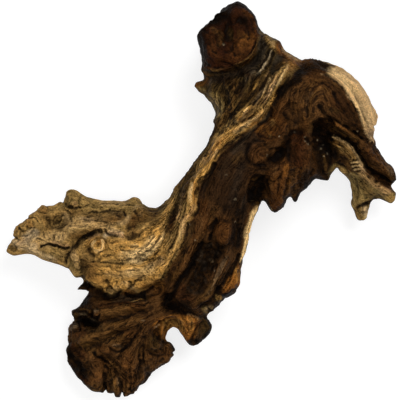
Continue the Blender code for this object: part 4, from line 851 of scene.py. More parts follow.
# Brush strokes over them: colour, strength, half width, points.
strokes = [
    # left limb, broad tones
    ("olive", 0.75, 9, -104, 2, -92, 4, -78, -3, -60, -4, -44, -6, -36, -9),
    ("paleTan", 0.55, 6, -128, -30, -120, -32, -108, -27, -96, -20, -84, -17, -70, -18),
    ("olive", 0.5, 6, -118, -41, -106, -43, -98, -50, -90, -56),
    ("umber", 0.7, 4.5, -84, -13, -72, -12.5, -58, -12, -52, -16),
    ("umber", 0.75, 5, -50, -18, -46, -13, -42, -11), ("umber", 0.6, 4, -53, -24, -50, -27, -45, -27),
    ("gold", 0.95, 6, -80, -35, -66, -35, -52, -36, -42, -32, -35, -24),
    ("umber", 0.55, 5, -44, -12, -36, -12, -29, -14, -25, -22),
    ("umber", 0.85, 3.2, -70, -15.6, -64, -15.4, -57, -14), ("paleTan", 0.7, 2.8, -101, -12, -99, -17, -97, -21),
    ("bone", 0.8, 3.4, -130, -28, -124, -25), ("bone", 0.55, 3, -139, -32, -133, -33.6, -125, -35),
    ("bone", 0.4, 2.2, -128, -39.4, -118, -41.6, -109, -45.6),
    ("bone", 0.7, 2.4, -70, -25.6, -65, -23.6, -60, -25.4),
    ("cream", 0.95, 4, -56, -42, -47, -41, -40, -38.4, -35, -31), ("cream", 0.5, 3, -52, -53, -43, -52, -35, -50),
    ("gold", 0.7, 2.6, -77, -44, -66, -42, -56, -43), ("gold", 0.6, 4, -29, -27, -30, -38, -34, -47),
    ("rust", 0.4, 3.6, -84, -41, -84, -50, -80, -57), ("rust", 0.5, 2.2, -83, -33, -77, -30, -73, -30),
    ("gold", 0.95, 7, -76, -55, -62, -55, -48, -54, -38, -50, -30, -46),
    ("gold", 0.8, 4, -76, -62, -66, -65, -56, -63, -44, -63), ("paleTan", 0.5, 3, -68, -55, -60, -56, -52, -55),
    ("paleTan", 0.7, 2.4, -68, -67, -66, -69.6, -62, -66, -56, -63, -50, -67),
    ("umber", 0.5, 2.2, -84, -48.6, -74, -48.4, -64, -49),
    ("umber", 0.8, 3, -87.5, -47, -86, -52, -85, -59, -88, -60), ("rust", 0.6, 3.4, -80, -50, -80, -57, -74, -60),
    ("orange", 0.6, 4.5, -40, -63, -33, -62, -31, -66), ("gold", 0.8, 3.4, -48, -59, -41, -59.6, -35, -58),
    ("gold", 0.8, 2.6, -70, -65, -64, -61, -58, -66), ("rust", 0.5, 1.6, -42, -66.4, -36, -65, -31, -63),
    ("umber", 0.5, 3, -117, -13, -112, -17, -113, -20), ("darkOlive", 0.6, 3.2, -107, -14, -104, -18, -106, -21),
    ("umber", 0.5, 2.6, -100, -8, -96, -9.6, -91, -9), ("pink", 0.5, 2, -94, -3),
    ("rust", 0.55, 3, -119, -6.5, -116.5, -7.6), ("orange", 0.4, 2.6, -128.5, -16.5, -127, -19),
    ("pink", 0.6, 1.6, -138.6, -21), ("pink", 0.5, 2, -136, -32.6, -132, -30, -129, -28.6),
    ("paleTan", 0.5, 2.2, -126, -26, -124, -29), ("darkOlive", 0.75, 2.6, -142, -35.4, -140.4, -36),
    ("umber", 0.5, 1.6, -138.4, -26, -136.6, -23), ("paleTan", 0.4, 3.4, -108, -27, -104, -28),
    ("pink", 0.7, 1.2, -111, -31.6, -107.6, -32.2, -104, -34.2, -99.4, -33.8),
    # the olive stroke from -97, -24.4 is painted shade in the soft hollow above the big crack
    ("olive", 0.6, 3.4, -97, -24.4, -90, -24.6, -83, -23), ("paleTan", 0.7, 2.6, -96, -38, -94, -44),
    ("darkOlive", 0.7, 2, -96, -33, -93, -30.6, -90, -27.6),
    ("darkOlive", 0.6, 2.2, -92, -33, -97, -37.6, -100, -43),
    ("paleTan", 0.5, 2, -95.6, -41, -93.4, -45, -92, -50), ("olive", 0.5, 2.2, -98.6, -46, -96, -51),
    ("umber", 0.6, 2.4, -108, -45, -104, -46, -101, -46), ("slate", 0.6, 1.7, -84, -37.4, -82, -40.6),
    ("gold", 0.5, 4, -76, -33, -75, -36), ("orange", 0.5, 2.4, -74.4, -31.6),
    ("pink", 0.7, 1, -83, -28.8, -79.4, -26.8, -76, -26), ("slate", 0.6, 1.6, -66, -9, -60, -9.6, -57, -11.4),
    ("slate", 0.4, 1.6, -63, -12.4, -60, -13.4), ("paleTan", 0.6, 1.8, -60, -17.6, -56, -16, -53.6, -12.6),
    ("paleTan", 0.7, 1.5, -49.4, -6, -46, -5, -43.6, -8.6, -45, -11.4), ("umber", 0.8, 1.2, -46.2, -8),
    ("pink", 0.8, 1.5, -67.6, -23.6, -64, -24.6, -60, -25.2, -58, -28.4),
    ("rust", 0.5, 1.2, -71, -31.4, -65, -32, -60, -31.6), ("rust", 0.5, 1.4, -50, -8, -49.6, -18, -50, -28),
    ("cream", 0.55, 1.4, -51, -34.6, -47.6, -33.8),
    ("cream", 0.7, 1.5, -49.4, -46.4, -43, -43.4, -36, -38.4, -30.6, -31.6, -27.4, -25.4),
    ("cream", 0.7, 2.4, -50, -44.6, -46, -45.6, -42, -43),
    ("cream", 0.6, 0.9, -35, -37, -30.4, -31.4, -27.6, -26.4),
    ("cream", 0.45, 1.4, -46, -39.8, -40, -36.4, -36, -31.6),
    ("rust", 0.6, 0.7, -38, -38, -35, -35, -31.4, -30.4, -28.6, -25.6),
    ("umber", 0.5, 0.9, -38, -46.6, -32.6, -41, -29, -34.6, -25.6, -28),
    # trunk left of the crest
    ("deepBark", 0.9, 2.6, 9, 52, 6, 43, -1, 33, -7, 24, -13, 15, -18, 7, -23, 0, -28, -5),
    ("darkOlive", 0.9, 4, -5, 20, -11, 9, -15.6, -1, -19.6, -11, -22.6, -19),
    ("char", 0.75, 1.2, -9, 13, -13, 4, -16.4, -6, -19.4, -13, -22.4, -19),
    ("char", 0.65, 0.9, -3, 24, -8, 16, -12.6, 10, -17, 1, -20, -8),
    ("olive", 0.7, 2.6, -20, 4, -26, -7, -33, -11, -42, -9),
    ("umber", 0.8, 4, -33, -10, -38, -10, -43, -8, -45, -14),
    ("darkOlive", 0.6, 2, -45, -1, -40, -5.6, -34, -7.6, -28, -5),
    ("gold", 0.6, 1.8, -21, 0, -25, -8, -29.6, -16, -35, -23),
    ("rust", 0.6, 2.2, -19.4, -12, -22, -20, -25.4, -26),
    ("umber", 0.6, 2.2, -17, -22, -20, -29, -25, -38, -30, -44),
    ("umber", 0.55, 1.8, -8.6, 14, -10, 6, -11.4, -3),
    ("pink", 0.5, 1.6, -12.6, 4, -15, -6, -16.8, -13, -13.6, -16),
    ("paleTan", 0.6, 1.6, -13, -17, -14.4, -25, -17.4, -33, -22, -41, -27, -50),
    ("gold", 0.8, 1.7, -17, -33, -21, -39.6, -25, -46, -28.6, -54), ("pink", 0.5, 1.3, -11.6, -18, -12, -25),
    ("gold", 0.95, 3, 0, 18, -4.6, 10, -6, 2, -5.6, -5, -8, -12),
    ("cream", 0.8, 1.3, -6.4, 12, -7.6, 5, -7.4, -1), ("orange", 0.55, 1.7, -3.6, 12, -4, 5, -3.4, -2),
    ("pink", 0.8, 2, -5, -5, -7.4, -10, -11, -14), ("paleTan", 0.6, 1.6, -4, 18, -1.4, 21, 3, 23),
    # crest towards the neck
    ("gold", 0.9, 4.2, 46, 64, 34, 55.4, 24, 50, 15, 42, 8, 32, 2, 22),
    ("umber", 0.5, 1.6, 33, 59, 38, 62, 43, 66), ("paleTan", 0.7, 1.7, 40, 61, 33, 56, 26, 51),
    ("cream", 0.5, 1, 38, 58.4, 32, 54, 27.6, 50), ("pink", 0.6, 2, 14, 46, 8, 38, 3, 30),
    ("amber", 0.7, 1.2, 64, 92, 60, 85, 56, 76, 52, 68.6, 46, 61, 38, 55.6),
    ("rust", 0.7, 0.6, 38, 53.4, 30, 48, 22, 43.4, 15, 38), ("rust", 0.6, 0.6, 30, 55, 22, 50, 14, 43, 8, 36),
    ("umber", 0.6, 0.7, 24, 54.6, 16, 49.6, 9, 42, 2, 33), ("cream", 0.7, 1.2, 13, 37, 9, 33, 6, 30),
    ("olive", 0.4, 1.4, 15, 50, 9, 42, 3, 34, -3, 25), ("char", 0.5, 1.1, -8, 24.6, -2, 31, 4, 37.6),
    ("char", 0.6, 0.9, 5.4, 35.4, 3.4, 32.4), ("rust", 0.8, 1.1, 14, 42.6, 12, 41),
    ("umber", 0.6, 1, -6, 23, -4.4, 18), ("cream", 0.9, 1.5, 65.6, 100.4, 62, 95, 60.6, 90.6, 58.4, 86),
    ("pink", 0.9, 1.9, 57, 93, 54.4, 87, 51, 80, 48.4, 74), ("gold", 0.9, 1.5, 58, 84, 55, 77, 52, 70.6, 49, 67),
    ("sand", 0.6, 1.6, 49, 68, 46, 64.6, 42, 60.6), ("paleTan", 0.6, 1, 53, 91, 49.4, 84, 46, 78),
    ("rust", 0.7, 1.4, 46, 76, 48, 72, 50, 69), ("gold", 0.9, 1.6, 36.4, 69.6, 32.4, 65.4, 29, 61),
    ("cream", 0.6, 0.9, 35.4, 68.6, 33, 64.6, 31.4, 61), ("bark", 0.9, 3, 31, 60, 36, 64, 40, 68, 45, 73),
    ("soot", 0.85, 2, 22, 64, 25, 61, 24, 57.4), ("slate", 0.6, 1.3, 25, 60, 27.6, 57.4),
    ("umber", 0.8, 2, 38, 75, 41.6, 79, 45, 84), ("grey", 0.6, 0.9, 41.6, 72.6, 45, 78, 48.6, 83),
    ("orange", 0.6, 3, 67, 99, 72, 101.6, 78, 103), ("orange", 0.85, 3.2, 60, 115, 66, 108.6, 74, 105, 81, 103.4),
    ("paleTan", 0.6, 1.5, 62, 113, 67, 108.6, 75, 105.6), ("rust", 0.5, 2, 60, 109, 66, 103.6, 72, 101),
    # neck
    ("slate", 0.85, 3.6, 47, 118, 46, 110, 42, 102, 36, 94), ("slate", 0.8, 3.4, 59, 106, 57, 101, 56, 97),
    ("ash", 0.8, 3.2, 40, 101, 32, 97, 20, 93, 10, 91), ("deepBark", 0.85, 2.6, 16, 98, 26, 97, 35, 95),
    ("bone", 0.5, 0.9, 54, 113.4, 52, 108, 49.6, 103, 46, 98, 42.6, 94),
    ("pink", 0.5, 0.9, 51.4, 98, 50.6, 95, 49.4, 93), ("soot", 0.7, 0.9, 52.4, 113.6, 50, 107.6, 47, 102),
    ("tan", 0.9, 2.6, 51, 120.6, 54, 118, 55.4, 114.6), ("paleTan", 0.6, 1.3, 52.6, 120, 55.4, 116),
    ("olive", 0.85, 1.8, 45, 127, 50, 124.4, 57, 121), ("rust", 0.5, 2, 58, 117, 60, 112),
    ("gold", 0.5, 1.2, 43.6, 90, 42, 87, 40.4, 84), ("char", 0.8, 0.6, 54, 100, 50, 92, 45, 84, 39, 76, 33, 71),
    ("char", 0.8, 0.7, 46, 96, 42, 88, 36, 79, 29, 71, 21, 62), ("char", 0.7, 0.7, 38, 95, 33, 86, 26, 76),
    ("char", 0.6, 0.8, 29, 93, 24, 84, 18, 74), ("grey", 0.5, 0.6, 47, 84, 42, 77, 37, 72),
    ("umber", 0.7, 0.8, 40, 88, 34, 80, 27, 72, 20, 64), ("char", 0.8, 0.8, 51, 75, 46, 69, 41, 64, 37, 61),
    ("umber", 0.6, 1.8, 38.4, 82, 35, 77, 31, 72), ("umber", 0.4, 3, 18, 80, 24, 76),
    ("deepBark", 0.7, 4, 17, 90, 26, 87, 29, 81), ("deepBark", 0.5, 2.6, 38, 92, 44, 90, 49, 88),
    ("olive", 0.85, 4.2, 9, 77, 13, 71, 14, 65), ("darkOlive", 0.6, 3, 12, 58, 13, 52),
    ("olive", 0.6, 1.6, 0, 83, 6, 78, 10, 74), ("tan", 0.5, 1.2, 11.6, 77, 13, 72),
    ("umber", 0.8, 1.2, 27, 78, 23, 72, 18, 64), ("deepBark", 0.4, 1.2, 24, 68, 18, 60, 14, 54),
    ("deepBark", 0.5, 1.8, 33, 86, 30, 80, 36, 78), ("orange", 0.6, 2.4, 4, 93, 3, 89, -2, 86.6),
    ("olive", 0.5, 1.4, -1, 84, 3, 81.6), ("slate", 0.5, 1.6, 34, 90, 31, 86),
    # cut stub
    # the first char stroke is painted shade along the stub's rim
    ("char", 0.95, 3.4, -1, 118, 0, 128, 4, 132, 9, 135, 14, 141, 22, 146, 30, 149, 40, 143, 46, 130),
    ("char", 0.9, 5, 12, 137, 19, 138), ("char", 0.9, 4.6, 26, 136, 32, 134),
    ("char", 0.8, 3.4, 3, 126, 1, 118, 2, 108), ("rust", 0.5, 1.8, 33, 142, 38.6, 136.6, 41, 130, 42, 122),
    ("rust", 0.85, 7, 34, 119, 30, 112), ("orange", 0.35, 4, 37, 122, 34, 117),
    ("umber", 0.4, 2.4, 11, 128, 15, 123, 14.6, 117), ("umber", 0.4, 2.2, 30, 125.6, 33, 124),
    ("rust", 0.4, 3.4, 22, 107, 28, 106), ("darkOlive", 0.8, 2.4, 22, 127, 23, 122),
    ("rust", 0.45, 3, 8, 122, 10, 112, 14, 106), ("red", 0.6, 3.4, 26, 139, 31, 128),
    ("tan", 0.3, 0.7, 43.4, 122, 42.8, 117, 41, 112.6, 38, 108.6, 35, 105.6, 31, 103.4, 26, 101.6),
    # the bone dot at 17.6, 116.4 is a painted glint
    ("orange", 0.25, 1.2, 42.6, 114, 40, 109, 36, 103.6, 32, 101.6), ("bone", 0.7, 0.8, 17.6, 116.4),
    ("char", 0.6, 1.6, 19, 131, 19, 125, 18, 120), ("char", 0.5, 1.6, 34, 133, 38, 127),
    # right side of the trunk above, folds
    ("ash", 0.75, 4, 50, 52, 40, 44, 30, 36, 22, 28, 17, 20),
    ("slate", 0.85, 1.6, 53.4, 68, 48.6, 61, 43, 55.6, 37, 50.4, 32.6, 44.6),
    ("soot", 0.9, 1, 50.4, 60.6, 45.4, 55.6, 40, 51.6, 36, 46.4, 33, 42),
    ("dusk", 0.7, 5, 24, 30, 16, 16, 10, 4, 6, -8), ("ash", 0.5, 3.6, 32, 26, 27, 12, 24, -2),
    ("deepBark", 0.6, 4, 16, 12, 20, 0, 22, -8), ("rust", 0.45, 6, 42, 38, 44, 33),
    ("deepBark", 0.5, 2.2, 40, 47, 35, 44, 38, 38),
    ("soot", 0.9, 1.5, 37, 42, 34.6, 35, 36.4, 29, 41, 25.6, 48, 25.6),
    ("orange", 0.5, 4, 46, 52, 53, 53, 57, 59), ("rust", 0.7, 5, 48, 49, 56, 50, 60, 58),
    ("tan", 0.4, 1.3, 52.6, 48.4), ("tan", 0.4, 1.4, 55, 59, 54, 56.6),
    # the char stroke at 54, 31 is painted shade in the deep pit
    ("char", 0.95, 4.2, 54, 31, 59, 33.4, 63.6, 36), ("deepBark", 0.8, 2.2, 50, 28, 54, 27, 60, 27),
    ("rust", 0.85, 4.4, 64, 26, 62, 16, 58, 4, 57, -4), ("orange", 0.6, 2, 65, 25, 64.6, 20, 66, 14),
    ("orange", 0.35, 2, 55, 14, 58, 17), ("rust", 0.6, 3, 52, 20, 55, 12),
    ("red", 0.85, 7, 73, 46, 73, 38, 74, 30), ("rust", 0.6, 3.4, 80, 30, 82, 33),
    ("orange", 0.55, 1.8, 74, 22, 73, 17, 74.6, 13), ("orange", 0.5, 1.4, 84, 24, 86, 25.4),
    ("soot", 0.85, 3.6, 79, 18, 78, 12, 82, 14), ("soot", 0.85, 2.4, 66, 48, 66, 38, 67, 29),
    # painted shade in the deep hollow by the trunk's right border
    ("char", 0.95, 5, 46, 14, 43, 7, 42, 0), ("char", 0.9, 2.8, 38, 7, 37.6, 0),
    ("umber", 0.4, 1.3, 40, 15, 44, 18.4, 48, 20), ("deepBark", 0.6, 4, 36, 20, 44, 22, 52, 24),
    # painted shade along the lower rim of the folds
    ("char", 0.95, 2, 48, -1, 52, -7, 57, -9, 62, -5, 66, 0),
    ("char", 0.9, 1.6, 66, 0, 71, -1, 75, 5, 79, 8, 84, 14, 89, 16, 94, 14, 98, 19),
    ("char", 0.6, 2.6, 64, 66, 65, 61), ("bark", 0.8, 4, 70, 78, 68, 68, 72, 60),
    ("rust", 0.45, 3, 62, 74, 60, 66, 66, 72), ("rust", 0.5, 3, 78, 60, 76, 68, 80, 54),
    # black hollow under the shoulder, its soot and char strokes painted shadow
    ("soot", 0.85, 7, 87, 50, 92, 44, 96, 38), ("char", 0.95, 4.6, 100, 48, 101, 38, 102, 32, 98, 28),
    ("soot", 0.9, 5, 90, 38, 92, 28, 94, 22), ("soot", 0.8, 3, 86, 56, 90, 54, 96, 54),
    ("umber", 0.4, 1.3, 92.6, 34, 94, 27, 95, 21),
    # black cap and shoulder
    ("char", 0.95, 4.6, 60, 82, 66, 89, 73, 95, 80, 100, 88, 102, 95, 99),
    ("soot", 0.95, 2.4, 57, 78, 61, 83, 67, 86, 74, 90), ("soot", 0.8, 2.4, 94, 94, 88, 96.4, 80, 95),
    ("brown", 0.6, 9, 78, 70, 84, 82, 94, 84, 103, 78), ("rust", 0.35, 5, 84, 92, 92, 92, 99, 87),
    # the umber lines along the ring ridges and the grey line from 80, 68 are painted sheen on the shoulder
    ("umber", 0.4, 0.9, 78, 60, 77.4, 70, 80, 81, 85.6, 88.6, 92, 90.4, 100, 87, 107, 79.4),
    ("umber", 0.4, 0.9, 83, 64, 82.8, 72, 86, 80, 91.4, 84, 96.6, 80.6, 99, 74),
    ("grey", 0.35, 1, 80, 68, 80.6, 75, 84, 80), ("red", 0.6, 6.5, 103, 75, 108, 68),
    ("deepBark", 0.85, 3.4, 103.4, 80, 109.6, 68, 115, 57), ("deepBark", 0.6, 4, 104, 84, 97, 90),
    ("bark", 0.5, 4, 104, 64, 112, 58), ("darkOlive", 0.5, 2, 98, 68, 103, 66),
    ("char", 0.9, 1.5, 89.6, 70.6, 94, 65, 99.4, 60.6, 105, 57.4, 111.6, 53, 118, 48.6, 123, 45),
    ("umber", 0.4, 2, 84, 58, 82, 52),
    # hook
    ("brown", 0.9, 3.4, 97, 57, 104, 55, 112, 50, 119, 44.6),
    ("orange", 0.35, 1.4, 99, 57.6, 106, 54.6, 112, 50.6), ("deepBark", 0.7, 2.2, 90, 58, 94, 57),
    ("char", 0.95, 1.9, 97, 48.6, 103, 47.6, 109.4, 45.4, 115, 41, 118.4, 35.4, 122, 30),
    ("umber", 0.95, 4.6, 102, 42, 108, 37, 112, 31, 113, 25), ("tan", 0.7, 2.6, 106, 40, 111, 36, 115, 30),
    ("paleTan", 0.9, 1.3, 100.6, 47, 107, 44.2, 112.6, 40.4, 116.6, 36, 119.4, 31, 122, 26),
    ("sand", 0.7, 1.6, 119, 29, 121, 25, 123, 22), ("soot", 0.85, 1.9, 100, 40, 104, 34, 108, 28),
    ("char", 0.9, 0.8, 113, 28.6, 117.6, 29.8), ("char", 0.9, 0.8, 113.2, 26.2, 118.4, 27.2),
    ("char", 0.9, 0.8, 114, 23.6, 119, 24.8), ("brown", 0.8, 6, 122, 41, 129, 34, 136, 27),
    ("rust", 0.5, 3, 126, 38, 132, 33), ("soot", 0.7, 2, 124, 34, 128, 29, 134, 24),
    ("grey", 0.55, 1.6, 141, 24, 143.6, 20), ("char", 0.9, 1.3, 124, 26, 129.6, 21.4, 135.6, 18, 141.4, 14.6),
    # painted shade along the hook's outer rim
    ("char", 0.8, 1.4, 129, 43, 134, 37, 138, 31, 144, 26, 147, 19, 145, 11),
    ("pink", 0.6, 3, 122, 18.6, 129, 14, 136, 9.4, 140, 6), ("rust", 0.5, 2.6, 128, 17, 134, 14, 140, 11),
    ("red", 0.95, 1.2, 126.4, 17.6, 127.6, 16.6), ("red", 0.95, 1.3, 131, 14.6, 132.6, 13.4),
    ("red", 0.9, 1.1, 134.6, 10.2), ("gold", 0.25, 2.2, 142, 1.6, 146, 1),
    ("umber", 0.55, 3.2, 122, 13, 127, 6, 131, 2), ("olive", 0.6, 2.4, 115, 14, 116, 4, 116, -4),
    ("deepBark", 0.9, 1.5, 118.4, -5.4, 121.6, -4, 126, -2.2, 131, 0.8), ("umber", 0.6, 2.6, 119, -8, 120, -14),
    ("bone", 0.7, 1.4, 124.6, -6, 124.4, -12), ("tan", 0.8, 1.6, 102, 26.4, 106, 24, 111, 19),
    ("soot", 0.8, 1.4, 121, 52, 123, 47, 128, 45),
    # crest behind the shoulder
    ("cream", 0.5, 3, 98, 97, 104, 94, 110, 88, 115, 81), ("paleTan", 0.3, 2.4, 118, 84, 122, 76, 126, 66),
    ("tan", 0.3, 1.4, 122, 88, 128, 78, 131, 68, 132, 58), ("tan", 0.5, 1.6, 104, 99, 112, 96, 119, 90),
    ("cream", 0.3, 2.4, 118, 72, 122, 64, 125, 56), ("pink", 0.5, 2, 126, 54, 129, 49),
    # lower trunk
    ("brown", 0.8, 5, -4, -20, -9, -34, -15, -47, -21, -58), ("rust", 0.35, 3, -3, -24, -7, -34, -20, -56),
    ("umber", 0.45, 2.4, -12, -36, -17, -46, -12, -42), ("darkOlive", 0.7, 2, -6, -18, -8, -26, -10, -33),
    ("char", 0.9, 2.4, 1.6, -34, -4, -45, -9.4, -54, -16, -62, -21, -71, -24, -78),
    ("rust", 0.6, 3.6, 2, -4, 6, -16, 6, -22), ("umber", 0.35, 2, 10, -8, 8, -16),
    ("rust", 0.7, 6.5, 16, -20, 18, -28), ("char", 0.85, 1.7, 12, -15.4, 9, -21, 7.6, -29),
    ("soot", 0.8, 1.5, 11.6, -32.6, 16, -36, 21.6, -35.4, 25, -30),
    ("soot", 0.6, 4, 28, 0, 28, -12, 28, -24, 27, -33), ("deepBark", 0.7, 2, 24, -16, 25, -24, 23, -32),
    ("ash", 0.6, 2, 33, 0, 32.4, -12, 30.6, -24, 28.6, -34), ("umber", 0.7, 1.5, 42.6, -3, 40.6, -7),
    # the char strokes at 4, -36, 14, -40 and 0, -52 are painted shade in the gnarled hollow
    ("char", 0.9, 6.5, 4, -36, 10, -40, 6, -46), ("char", 0.8, 4, 14, -40, 18, -37),
    ("char", 0.9, 6.5, 0, -52, -2, -60, 1, -66), ("soot", 0.7, 4, -8, -60, -10, -68, -12, -76),
    ("red", 0.5, 3, -13, -66, -15, -72, -8, -74), ("ash", 0.9, 1.1, 5, -34.6, 8.6, -33.6),
    ("ash", 0.9, 1.1, 2, -38, 1, -43), ("ash", 0.9, 1.2, 9.6, -38.4, 13.4, -39.4),
    ("grey", 0.35, 1, 7.6, -44.6, 9.6, -45.8), ("ash", 0.9, 1.2, -1.6, -45, 3.6, -47),
    ("ash", 0.8, 1.1, -4, -53, -3, -57), ("ash", 0.8, 1.1, 3, -52, 7.6, -51),
    ("ash", 0.8, 1.1, -6.4, -62, -2, -64.4), ("ash", 0.8, 1.1, 2.6, -58, 5, -62),
    ("ash", 0.6, 1.3, -9, -66, -4, -70, 2, -68), ("brown", 0.9, 4, 24, -39, 23, -46, 18, -52),
    ("umber", 0.5, 3, 12, -60, 6, -70, 0, -76),
    ("grey", 0.5, 0.9, 20, -42.6, 17, -50, 13.2, -58, 10, -64.4, 6, -70.6),
    ("grey", 0.35, 0.8, 17.4, -45, 14, -53, 10, -60.6), ("char", 0.85, 1.7, 29.4, -42, 26, -49, 21, -57, 18, -62),
    # the char stroke from 30.4, -65.8 and the soot stroke from 20, -72 are painted shade along the lower edge of
    # the trunk, above the small knob
    ("rust", 0.6, 1.8, 26, -64, 20, -68.6), ("char", 0.9, 1, 30.4, -65.8, 25, -68, 19.4, -71.8),
    ("char", 0.95, 2.6, 13.2, -66, 13.6, -69.4), ("soot", 0.8, 3.6, 20, -72, 14, -78, 8, -80, 2, -79),
    ("tan", 0.9, 2.2, 13, -73, 15, -74.6), ("orange", 0.4, 1.6, 14, -73), ("olive", 0.75, 1.8, 3, -81, 4.4, -84),
    # the char stroke from -24, -80 and the soot and slate strokes after it are painted shadow in the deep gap
    # between the lower limb and the stub
    ("paleTan", 0.6, 1.6, 8.4, -80.4, 4, -82.4), ("char", 0.8, 5.4, -24, -80, -17, -82, -11, -82),
    ("soot", 0.85, 4, -26, -73, -24, -78), ("slate", 0.35, 2, -25, -76),
    # stub at the bottom
    ("amber", 0.95, 4, -30, -94, -20, -91, -10, -92, -6, -99), ("rust", 0.3, 2, -30, -96, -24, -91, -14, -88),
    ("gold", 0.5, 2.2, -26, -92, -20, -91, -14, -92), ("gold", 0.5, 1.8, -7, -90, -6, -96),
    ("pink", 0.5, 1, -9, -85.6, -4.6, -87, -0.6, -88.4), ("red", 0.95, 1.7, 2, -92, -2.6, -96, -5.6, -103),
    ("darkOlive", 0.95, 5, 4, -94, 3, -99), ("ash", 0.6, 2.6, 0, -101, -2, -104),
    # the char stroke is painted shade along the lower rim of the small stub
    ("char", 0.9, 2.6, -6, -106, -1, -107, 4, -104, 8, -99, 8, -93), ("tan", 0.4, 1, -1, -90, 2, -88.4),
    # lower fan
    # painted shadow under the overhanging pale skirt, in the next two strokes
    ("soot", 0.6, 3.4, -84, -66, -78, -70, -66, -74, -52, -74, -42, -72),
    ("char", 0.5, 1.6, -76, -69, -70, -72.4, -62, -70, -54, -72, -46, -72.6, -38, -68),
    ("slate", 0.55, 2.6, -64, -74.6, -56, -74, -48, -75), ("slate", 0.6, 1.6, -41.6, -71, -41, -75),
    # painted shade along the upper left rim of the lower fan
    ("char", 0.9, 3.4, -86, -64, -90, -66.4, -86, -72, -88, -78, -94, -81),
    # the char stroke from -88, -89.6 is painted shade in the hole
    ("soot", 0.9, 7, -86, -80, -90, -88, -84, -94), ("char", 0.95, 4.4, -88, -89.6, -84, -91.4, -79, -92.4),
    # the grey and umber lines along the lobe's lips and the grey spot at -78.6, -83.4 are painted sheen
    ("grey", 0.45, 0.9, -90, -85.4, -86, -86, -83, -88.4, -78.6, -91, -76.4, -91.4),
    ("umber", 0.6, 0.9, -90.4, -81.8, -86, -81.8, -82.6, -83.6), ("grey", 0.6, 1.1, -78.6, -83.4, -77, -82.8),
    ("grey", 0.5, 1.5, -93.2, -92, -94, -95, -97.4, -96.8), ("umber", 0.5, 1.4, -92.6, -86, -92, -90),
    ("red", 0.6, 1.5, -76, -79, -66, -78.2, -56, -77.2, -46, -78.6),
    ("umber", 0.5, 3, -72, -84, -62, -83, -52, -81.6), ("rust", 0.4, 4, -50, -82, -44, -82),
    ("deepBark", 0.5, 2, -76, -91, -66, -91, -58, -88.8), ("umber", 0.45, 4, -46, -90, -56, -93.6, -68, -95),
    ("darkOlive", 0.6, 3.2, -82, -96, -74, -96), ("rust", 0.5, 5, -50, -98, -58, -101),
    ("umber", 0.5, 4.4, -60, -103, -74, -103, -86, -105), ("umber", 0.55, 3.4, -86, -109, -80, -112),
    ("rust", 0.4, 3, -75, -111, -70, -113),
    ("char", 0.55, 1.1, -44.6, -96.6, -48.6, -102.6, -53, -108, -58, -112.6, -62.6, -114, -67, -112.4),
    ("grey", 0.4, 1.1, -65.4, -108.8, -61.6, -109, -58.4, -110.6), ("soot", 0.6, 3, -66, -116, -60, -116.6),
    ("char", 0.85, 1.5, -79.6, -114.6, -77, -117.4, -73.4, -118.6, -70, -121.6),
    ("umber", 0.7, 1, -70, -119.8, -66.4, -122.4, -63, -125), ("rust", 0.4, 5.5, -74, -122, -72, -128, -77, -133),
    ("umber", 0.4, 3.4, -76, -140, -82, -141), ("olive", 0.35, 1.4, -84, -140.6, -80, -143),
    ("umber", 0.7, 2.6, -66, -132, -65, -138, -64, -144), ("grey", 0.3, 1.3, -61, -134, -60.8, -139),
    ("rust", 0.5, 5, -54, -118, -53, -126, -53, -134), ("orange", 0.2, 3.4, -55, -124),
    ("umber", 0.5, 2.4, -55, -140, -56, -145), ("bark", 0.6, 2.6, -48, -124, -48, -134),
    ("char", 0.8, 1.6, -43.6, -121, -44.6, -126, -45, -133), ("bark", 0.7, 4, -38, -86, -40, -92, -40, -100),
    ("soot", 0.85, 3.4, -34, -99, -32, -103, -33, -97), ("darkOlive", 0.8, 3.6, -35, -105, -34, -109),
    ("umber", 0.45, 1.4, -38, -104, -38.4, -109.6, -34, -113.4, -28.6, -112.4),
    ("red", 0.2, 4, -36, -117, -28, -118), ("rust", 0.45, 3, -30, -115, -23, -115),
    ("ash", 0.6, 3, -40, -126, -38, -131), ("bone", 0.45, 0.5, -33.8, -95.2, -30.4, -93.2),
    # the bone dot at -43.4, -90.5 is a painted glint, and the char strokes from -100, -112 and -92, -120 are
    # painted shade where the fan's left side falls away
    ("bone", 0.6, 0.8, -43.4, -90.5), ("char", 0.95, 5, -100, -112, -98, -120, -93, -126, -88, -132),
    ("char", 0.8, 3.6, -92, -120, -88, -126, -86, -124), ("red", 0.7, 2.6, -95, -109, -92, -113, -88, -117),
    ("umber", 0.35, 1.2, -98, -104, -94, -106, -92, -110), ("red", 0.5, 2, -88, -134, -84, -137),
    ("red", 0.5, 3, -92, -101, -88, -99),
    # painted shade along the lower rims of the fan
    ("char", 0.85, 1.6, -20, -109, -19, -114, -21, -121, -29, -125, -37, -131, -44, -138, -52, -146),
    ("char", 0.85, 1.4, -57, -147, -62, -147, -68, -144, -73, -144, -80, -145, -88, -137),
    # last touches of light and shade
    ("cream", 0.7, 3.4, -51, -44, -45, -42.6, -40, -39), ("cream", 0.5, 3.6, -52, -55, -45, -55, -37, -52),
    ("sand", 0.4, 2.6, -37, -49, -32, -48, -29, -45), ("paleTan", 0.6, 2.8, -73, -1.4, -65, -1.2, -57, -1.8),
    ("tan", 0.8, 1.6, -69, -67.6, -66.5, -70.4, -63, -67.6), ("orange", 0.6, 2, -55, -68, -50, -69),
    ("umber", 0.4, 2.4, -122, -34.4, -117, -36), ("orange", 0.5, 2.2, 19, 46.4, 12, 39.6, 6.6, 31),
    ("gold", 0.7, 0.8, 12, 42.6, 7.6, 36.4, 4, 30), ("darkOlive", 0.6, 1.4, -11, 10, -12.4, 3, -14, -3),
    ("umber", 0.7, 2.2, 58, 99.6, 62, 102, 67, 105), ("sand", 0.5, 1.2, 56.6, 90, 54, 84, 51.6, 78),
